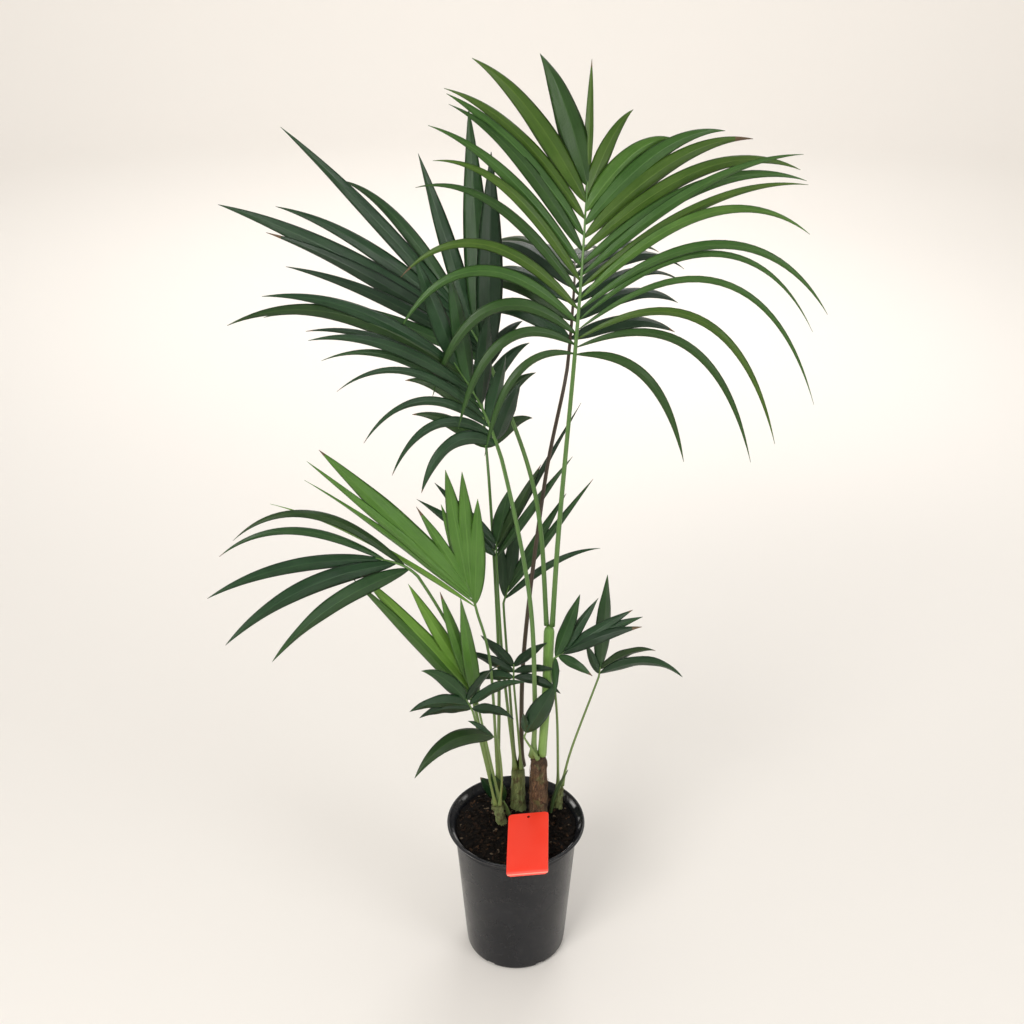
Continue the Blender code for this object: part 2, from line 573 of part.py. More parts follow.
def rib_path(frond):
    """The rib's middle line, from just above the stalk to the frond's end."""
    path = smooth_path((frond["throat"], *frond["rib"]), RIB_RINGS, before=rib_lead(frond))
    path[0] = path[0] + throat_heading(frond) * GAP
    return path


def rib_frames(path, face):
    """Forward, right-hand and upper directions along a rib whose upper side looks to face."""
    frames = []
    for i in range(len(path)):
        forward = (path[min(i + 1, len(path) - 1)] - path[max(i - 1, 0)]).normalized()
        across = forward.cross(Vector(face)).normalized()
        frames.append((forward, across, across.cross(forward)))
    return frames


def fuse(rib, collection):
    """Fuse the leaflets into the rib, drop loose scraps and fill hollows that the fusing seals."""
    join = rib.modifiers.new("leaflets", "BOOLEAN")
    join.operation = "UNION"
    join.operand_type = "COLLECTION"
    join.collection = collection
    whole = rib.data
    for solver in ("EXACT", "MANIFOLD"):
        join.solver = solver
        shaped = rib.evaluated_get(bpy.context.evaluated_depsgraph_get())
        mesh = bpy.data.meshes.new_from_object(shaped)
        bm = bmesh.new()
        bm.from_mesh(mesh)
        keep_largest(bm)
        closed = len(bm.faces) > 0 and all(edge.is_manifold for edge in bm.edges)
        bm.to_mesh(mesh)
        bm.free()
        if closed:
            whole = mesh
            break
    rib.modifiers.clear()
    rib.data = whole
    remove_collection(collection)


def keep_largest(bm):
    """Keep only the largest connected skin of a mesh."""
    left = set(bm.faces)
    shells = []
    while left:
        front = [left.pop()]
        shell = list(front)
        while front:
            face = front.pop()
            for edge in face.edges:
                for other in edge.link_faces:
                    if other in left:
                        left.remove(other)
                        front.append(other)
                        shell.append(other)
        shells.append(shell)
    shells.sort(key=len, reverse=True)
    for shell in shells[1:]:
        bmesh.ops.delete(bm, geom=shell, context="FACES")


def build_frond(name, frond, finish, obstacles, chance):
    """A rib with the leaflets that found room on both of its sides, as one solid."""
    path = rib_path(frond)
    frames = rib_frames(path, frond["face"])
    radii = frond["radii"][1:]
    rib = limb("frond_" + name, path, radii, RIB_SIDES, finish, first=throat_heading(frond))
    collection = bpy.data.collections.new(name + "_leaflets")
    bpy.context.scene.collection.children.link(collection)
    for side, key in ((-1, "left"), (1, "right")):
        for i, leaf in enumerate(side_leaves(side, frond[key], path, frames, chance)):
            moved = find_room(leaf, obstacles)
            if moved:
                bm = bmesh.new()
                loft(bm, leaflet_skin(moved))
                make_object(f"{name}_{key}_{i}", bm, finish, collection)
    bpy.context.view_layer.update()
    fuse(rib, collection)
    return rib


def world_tree(item):
    """A search tree of a finished object."""
    bm = bmesh.new()
    bm.from_mesh(item.data)
    bmesh.ops.triangulate(bm, faces=bm.faces)
    tree = BVHTree.FromBMesh(bm)
    bm.free()
    return tree


def build_stalk(name, frond, tops, finish):
    """The slender stalk from its stem's top to the throat of its frond."""
    start = tops[frond["stem"]] + Vector((*frond["stand"], GAP))
    path = smooth_path((start, *frond["via"], frond["throat"]), STALK_RINGS, after=frond["rib"][0])
    return limb("stalk_" + name, path, frond["radii"][:2], LIMB_SIDES, finish, UP, throat_heading(frond))


def main():
    """Build the pot, the stems, the stalks and then the fronds, each clear of the ones before."""
    clear_scene()
    chance = random.Random(SEED)
    sheath = material("brown_sheath", SHEATH_BROWN, 0.8)
    stalk = material("green_stalk", STALK_GREEN, 0.45)
    leaf = {"mid": material("leaf_mid_green", GREEN, 0.42),
            "deep": material("leaf_deep_green", DEEP_GREEN, 0.42),
            "young": material("leaf_young_green", YOUNG_GREEN, 0.42)}
    made = [build_pot(material("pot_plastic", PLASTIC_BLACK, 0.42)),
            build_soil(material("soil", SOIL_BLACK, 0.95)),
            build_tag(material("tag_plastic", TAG_RED, 0.45))]
    tops = {}
    for name, stem in STEMS.items():
        made.append(build_stem(name, stem, sheath))
        tops[name] = Vector(stem["top"])
    start = tops["stem_main"] + Vector((*SHARED_STAND, GAP))
    path = smooth_path((start, *SHARED_WAY), RIB_RINGS)
    made.append(limb("stalk_shared", path, SHARED_RADII, STEM_SIDES, stalk, UP, UP))
    tops["stalk_shared"] = path[-1]
    path = smooth_path(((*SPEAR_FOOT, SOIL_Z + GAP), *SPEAR_WAY), STALK_RINGS)
    made.append(limb("stalk_spear", path, SPEAR_RADII, LIMB_SIDES, stalk, UP))
    for name, frond in FRONDS.items():
        made.append(build_stalk(name, frond, tops, stalk))
    obstacles = [world_tree(item) for item in made]
    for name, frond in FRONDS.items():
        grown = build_frond(name, frond, leaf[frond["colour"]], obstacles, chance)
        obstacles.append(world_tree(grown))


main()
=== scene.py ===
"""Kentia palm in a round nursery pot: the fine shapes and the finish of every surface.

The leaflets grow on the same ribs, by the same rule and in the same order as the solids that they
stand for, with the same draws, so each keeps its place, its reach and its room.
"""
import math
import random

import bmesh
import bpy
from mathutils import Matrix, Vector, noise
from mathutils.bvhtree import BVHTree


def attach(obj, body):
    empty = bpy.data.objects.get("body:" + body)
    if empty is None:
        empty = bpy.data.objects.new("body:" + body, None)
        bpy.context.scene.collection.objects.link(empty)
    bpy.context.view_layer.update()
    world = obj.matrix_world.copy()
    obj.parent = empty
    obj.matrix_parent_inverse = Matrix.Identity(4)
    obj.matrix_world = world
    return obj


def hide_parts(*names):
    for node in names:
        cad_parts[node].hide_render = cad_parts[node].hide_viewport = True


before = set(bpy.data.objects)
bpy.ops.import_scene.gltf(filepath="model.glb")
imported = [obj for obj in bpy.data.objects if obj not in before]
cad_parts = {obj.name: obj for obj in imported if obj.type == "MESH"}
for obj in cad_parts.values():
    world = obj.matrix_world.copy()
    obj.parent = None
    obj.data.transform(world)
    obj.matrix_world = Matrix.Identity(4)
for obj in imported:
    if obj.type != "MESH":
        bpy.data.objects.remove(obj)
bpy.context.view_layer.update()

# The view: a camera in front of the plant and above it, looking down
CAMERA_PLACE = (-0.0068, -1.800, 1.802)
CAMERA_DOWN = math.radians(27.3)
PHOTO_LENS = 27.25
CLOSE_UP = 1.7

# The pot, its soil and the tag, in metres
GAP = 0.0003
POT_HEIGHT = 0.270
RIM_RADIUS = 0.120
LIP_THICKNESS = 0.0045
BODY_RADIUS = 0.106
BASE_RADIUS = 0.088
FOOT_RADIUS = 0.082
FOOT_RISE = 0.0075
WALL = 0.0022
FLOOR = 0.003
HEEL = 0.010
CREASE = 0.0011
LIP_DEPTH = 1.35
SHOULDER_DROP = 0.024
SHOULDER_Z = POT_HEIGHT - SHOULDER_DROP
SOIL_DROP = 0.010
SOIL_CLEAR = 0.0009
SOIL_Z = POT_HEIGHT - SOIL_DROP
SLOT_COUNT = 6
SLOT_SIZE = (0.016, 0.016, 0.014)
SLOT_START = math.radians(-61)
SLOT_SEAT = 0.3
TAG_WIDTH = 0.070
TAG_LENGTH = 0.130
TAG_THICKNESS = 0.0016
TAG_CORNER = 0.0060
TAG_HOLE = 0.0028
TAG_HOLE_INSET = 0.008
TAG_HOLE_SIDES = 32
TAG_HOLE_DEPTH = 0.02
TAG_X = 0.0255
TAG_TURN = math.radians(-3)
TAG_ROLL = math.radians(-9)
TAG_HEAD_Y = -0.0115
TAG_HEAD_RISE = 0.016
TAG_PAST_RIM = 0.0015
TAG_LIFT = 0.0006
TAG_HANG = Vector((0.0, -0.88, -0.47))

# How the pot is turned: shares of its height, and arcs as start, end and steps, with angles in degrees
POT_SIDES = 120
FOOT_ARC = (-72, -4, 6)
BODY_SHARES = (0.1, 0.3, 0.5, 0.7, 0.9)
SHOULDER_SHARES = (0.15, 0.3, 0.45, 0.6, 0.72)
LIP_FACE_ARC = (-70, 30, 7)
LIP_TOP_ARC = (45, 165, 8)
INNER_DROPS = (0.007, 0.012, 0.017)
POT_SHARP = math.radians(38)

# Habit of the leaflets, as in the solids
SEED = 17
DOWN = Vector((0.0, 0.0, -1.0))
LONG_STATIONS = (0.05, 0.2, 0.4, 0.62, 0.84)
SHORT_STATIONS = (0.1, 0.42, 0.77)
SHORT_LEAF = 0.16
LEAF_BELLY = 0.38
LEAF_FULLNESS = 0.85
SLENDERNESS = 0.0112
FOLD = 0.13
GUARD = 0.0011
BEND_POWER = 1.6
BEND_STEPS = 24
CURVE_STEPS = 16
TURN_SPREAD = 3
LIFT_SPREAD = 5
LENGTH_SPREAD = (0.95, 1.05)
DROOP_SPREAD = (0.9, 1.1)
WIDTH_SPREAD = (0.92, 1.08)
ROOM_SEARCH = (0, 7, -7, 14, -14, 21, -21, 28)
RIB_RINGS = 7

# The finer leaflets
LEAF_STEPS = 30
SHORT_LEAF_STEPS = 18
LEAF_ACROSS = (-1.0, -0.72, -0.38, -0.1, 0.0, 0.1, 0.38, 0.72, 1.0)
LEAF_SKIN = 0.00045
LEAF_EDGE_SKIN = 0.00012
LEAF_FOLD = 0.17
MIDRIB_RISE = 0.0005
LEAF_ROLL = math.radians(26)
EDGE_WAVE = 0.0009
DRY_TIP_CHANCE = 0.22
DRY_TIP_SHARE = (0.93, 0.985)
NOT_DRY = 2.0
LEAF_ENDS = (0.004, 0.996)
LEAST_HALF_WIDTH = 0.0003
FOLD_POWER = 1.25
EDGE_WAVES = 17.0
FULL_WAVE_HALF = 0.01
MIDRIB_WIDTH = 0.1
MIDRIB_FADE = 0.7
UNDER_RISE = 0.6
ROUND_TURN = 6.28

# Stalks, ribs and stems
STALK_STEPS = 44
RIB_STEPS = 26
LIMB_SIDES = 16
STALK_GROOVE = 0.16
STALK_RIBBING = 0.022
BASE_CLASP = 1.15
SHARED_CLASP = 0.08
CLASP_RUN = 0.016
CLASP_POWER = 1.4
GROOVE_WIDTH = 0.45
STALK_RIBS = 5
SHARED_SWELL = 0.12
SHARED_SWELL_RUN = 0.08
SHARED_ROUND_FROM = 0.94
SHARED_ROUND_RUN = 0.064
SHARED_FACE = Vector((0.2, -1.0, 0.2))
SPEAR_FACE = Vector((0.3, -0.9, 0.3))
SPEAR_SEAM = 0.3
STEM_SUNK = 0.008
STEM_SIDES = 56
STEM_STEPS = 64
STEM_FLARE = 0.26
STEM_FLARE_RUN = 0.08
STEM_ROUND_FROM = 0.90
STEM_ROUND_RUN = 0.115
SHEATHS = 3.4
SHEATH_STEP = 0.0016
SHEATH_SLANT = 0.42
SHEATH_LUMPS = 0.0011
SHEATH_RIDGES = 0.0005

# How far the grain is shifted round a stalk and a stem, past the reach of the midrib's mask
STALK_GRAIN_SHIFT = 0.05
STEM_GRAIN_SHIFT = 0.1

# Loose fibres on the sheaths: how many, how long and how far they slant and lift
FIBRE_RADIUS = 0.00032
FIBRES_ON = {"brown": 46, "green": 5}
FIBRE_POINTS = 7
FIBRE_STARTS = (0.05, 0.82)
FIBRE_SLANTS = (0.3, 1.1)
FIBRE_LENGTHS = (0.10, 0.22)
FIBRE_LIFTS = (0.0004, 0.0016)
FIBRE_CLEAR = 0.0004
FIBRE_TOP = 0.95
FIBRE_SIDE = Vector((0.3, 0.2, 0.93))

# Soil, crumbs and tag detail
SOIL_SIDES = 120
SOIL_RINGS = 46
SOIL_SETTLED = 0.0028
SOIL_MOUND = 0.0022
SOIL_LUMPS = 0.0021
SOIL_CRUMBS = 0.0007
CHIP_COUNT = 900
CHIP_MARGIN = 0.007
CRUMB_SIZES = (0.002, 0.0046)
BARK_SIZES = (0.0012, 0.0030)
CHIP_STRETCH = ((1.0, 2.4), (0.6, 1.2), (0.35, 0.7))
CHIP_DENTS = 0.42
CHIP_PLAY = 0.3
CHIP_SPIN = 6.3
CHIP_TILT = 0.7
CHIP_RISE = 0.15
GOLDEN_TURN = math.pi * (3 - math.sqrt(5))
CHIP_WEIGHTS = (10, 6, 3, 1)
TAG_STEPS = 60
TAG_ACROSS = (-1.0, -0.985, -0.6, -0.2, 0.2, 0.6, 0.985, 1.0)
TAG_FACE_FROM = 0.3
TAG_SHARP = math.radians(40)

# Sheen, roughness with vein depth, the pale band of painted highlight round the rim's lip, and the tones and
# shares of the leaf shades
LEAF_SHEEN = 0.34
UPPER_SURFACE = (0.30, 0.00022)
UNDER_SURFACE = (0.58, 0.00016)
UNDER_PALE = 1.35
POT_SHEEN = 0.30
DULL = 0.12
# The height and reach of a pale band painted round the lip's outer face: a painted highlight that stands for
# the lip's glint
PAINTED_GLINT_Z = POT_HEIGHT - 0.0055
PAINTED_GLINT_REACH = 0.0030
# Leaf tones dealt out at random by leaflet: partly the leaflets' own varied greens, partly painted sunlight
# and shade in the paler and darker copies
TONES_WITH_PAINTED_LIGHT = ((1.0, 1.0, 1.0), (0.64, 0.66, 0.68), (1.55, 1.36, 1.10), (1.30, 1.02, 0.62))
SHADE_WEIGHTS = (4, 3, 2, 2)
UNDER = len(TONES_WITH_PAINTED_LIGHT)
DRY = UNDER + 1

# Plain colours
POT_CHARCOAL = (0.0078, 0.0086, 0.0108)
POT_RUBBED = (0.0150, 0.0160, 0.0195)
POT_DUST = (0.120, 0.110, 0.100)
POT_SCUFF = (0.160, 0.160, 0.165)
# The colour of the painted highlight round the lip
POT_PAINTED_GLINT = (0.50, 0.50, 0.51)
SOIL_DARK = (0.0026, 0.0019, 0.0015)
SOIL_PALE = (0.012, 0.0075, 0.005)
SOIL_DAMP = (0.0015, 0.0012, 0.0010)
TAG_RED = (0.95, 0.044, 0.018)
TAG_FADED = (0.97, 0.066, 0.030)
TAG_EDGE = (0.86, 0.24, 0.16)
TAG_EDGE_PALE = (0.92, 0.42, 0.33)
DRY_BROWN = (0.060, 0.036, 0.018)
DRY_PALE = (0.190, 0.120, 0.060)
FIBRE_LOOK = ((0.090, 0.052, 0.026), (0.260, 0.160, 0.085), 0.8)

# Leaves: the upper skin with its paler veins, and the underside
LEAF_COLOURS = {
    "mid": ((0.029, 0.088, 0.011), (0.070, 0.158, 0.032)),
    "deep": ((0.0095, 0.037, 0.0115), (0.032, 0.086, 0.030)),
    "young": ((0.060, 0.158, 0.018), (0.112, 0.236, 0.046)),
}
UNDERSIDES = {"mid": (0.075, 0.135, 0.058), "deep": (0.040, 0.080, 0.044), "young": (0.110, 0.220, 0.055)}

# Stalks: skin, pale bloom, dark scurf, and the colour that they take towards the soil
STALK_COLOURS = {
    "green": ((0.050, 0.130, 0.020), (0.120, 0.235, 0.055), (0.030, 0.040, 0.016), (0.270, 0.340, 0.120)),
    "bright": ((0.085, 0.215, 0.028), (0.180, 0.350, 0.066), (0.050, 0.070, 0.020), (0.300, 0.400, 0.130)),
    "brown": ((0.030, 0.019, 0.012), (0.070, 0.048, 0.028), (0.012, 0.008, 0.005), (0.090, 0.070, 0.036)),
    "dark": ((0.018, 0.055, 0.014), (0.050, 0.120, 0.034), (0.010, 0.016, 0.006), (0.060, 0.090, 0.030)),
}

# The heights between which a stalk takes its last colour, going down
STALK_PALE_FROM = 0.66
STALK_PALE_AT = 0.30

# Sheaths: dark fibre, dry sheath, the flesh under them and how much of it shows
SHEATH_LOOKS = {
    "brown": ((0.048, 0.024, 0.012), (0.240, 0.140, 0.070), (0.230, 0.250, 0.085), 0.22),
    "green": ((0.110, 0.090, 0.040), (0.260, 0.220, 0.100), (0.360, 0.440, 0.160), 0.96),
}

# The old brown stem, and the frond with a brown stalk; the other stems and fronds are green
KINDS = {"stem_main": "brown", "back": "brown"}

# Crumbs on the soil: dark and light colour, and roughness
CHIP_LOOKS = {
    "peat_crumb": ((0.003, 0.0022, 0.0017), (0.012, 0.008, 0.005), 0.9),
    "dark_bark": ((0.007, 0.004, 0.003), (0.026, 0.014, 0.008), 0.8),
    "brown_bark": ((0.020, 0.011, 0.006), (0.064, 0.034, 0.018), 0.75),
    "pale_root": ((0.060, 0.044, 0.028), (0.150, 0.112, 0.075), 0.7),
}

# Stage and light
FLOOR_COLOUR = (0.87, 0.835, 0.79)
FLOOR_Z = -0.0002
FLOOR_SIDES = 96
FLOOR_SHARES = (0.1, 0.3, 0.6)
FLOOR_MIDDLE = 0.0005
BOWL_RADIUS = 7.0
BOWL_CURVE = 2.5
BOWL_HEIGHT = 6.0
BOWL_STEPS = 12
PLANT_MIDDLE = (0.0, 0.0, 0.75)
BACKDROP = (0.0, 9.0, 0.4)
LIGHTS = (
    ("key", (-1.9, -2.9, 3.1), PLANT_MIDDLE, 2.0, 105.0, (1.0, 0.985, 0.96)),
    ("fill", (2.8, -2.2, 1.9), PLANT_MIDDLE, 1.6, 34.0, (0.97, 0.985, 1.0)),
    ("back", (0.8, 2.8, 3.0), PLANT_MIDDLE, 2.0, 34.0, (1.0, 1.0, 1.0)),
    ("backdrop", (0.0, 3.6, 4.4), BACKDROP, 3.0, 170.0, (1.0, 0.99, 0.98)),
)
SKY_COLOUR = (1.0, 0.985, 0.965)
SKY_STRENGTH = 0.55

# The bright upper stem: where it stands on the main stem, its way up and its radii
SHARED_STAND = (0.0055, 0.001)
SHARED_WAY = ((0.051, 0.016, 0.530), (0.054, 0.020, 0.655))
SHARED_RADII = (0.0070, 0.0090)

# The rolled young leaf that rises from the soil on the right: its foot, its way up and its radii
SPEAR_FOOT = (0.060, 0.029)
SPEAR_WAY = ((0.070, 0.034, 0.300), (0.0905, 0.030, 0.353))
SPEAR_RADII = (0.0026, 0.0036, 0.0030, 0.0006)

# Stems: foot on the soil's plan, top, and radius at the foot and at the top
STEMS = {
    "stem_main": dict(foot=(0.040, 0.012), top=(0.039, 0.010, 0.400), radii=(0.0158, 0.0142)),
    "stem_middle": dict(foot=(0.004, 0.046), top=(0.004, 0.048, 0.345), radii=(0.0130, 0.0115)),
    "stem_left": dict(foot=(-0.030, 0.044), top=(-0.036, 0.040, 0.315), radii=(0.0120, 0.0100)),
    "stem_right": dict(foot=(0.074, 0.048), top=(0.078, 0.050, 0.300), radii=(0.0085, 0.0070)),
    "stem_front": dict(foot=(-0.024, 0.006), top=(-0.032, 0.004, 0.300), radii=(0.0095, 0.0080)),
    "stem_sprout": dict(foot=(-0.012, 0.026), top=(-0.014, 0.026, 0.262), radii=(0.0045, 0.0038)),
}


def leaflets(count, angle, length, droop, width, lift=12, low=0.10, crowd=1.0):
    """One side's leaflets; each tuple runs from the frond's throat to its tip.

    angle: degrees from the rib, length and width: metres, droop: how strongly the leaflet bends down,
    lift: degrees out of the rib's plane, low: the share of the rib where the leaflets begin, and
    crowd: over 1 it draws them to the throat.
    """
    return dict(count=count, angle=angle, length=length, droop=droop, width=width, lift=lift,
                low=low, crowd=crowd)


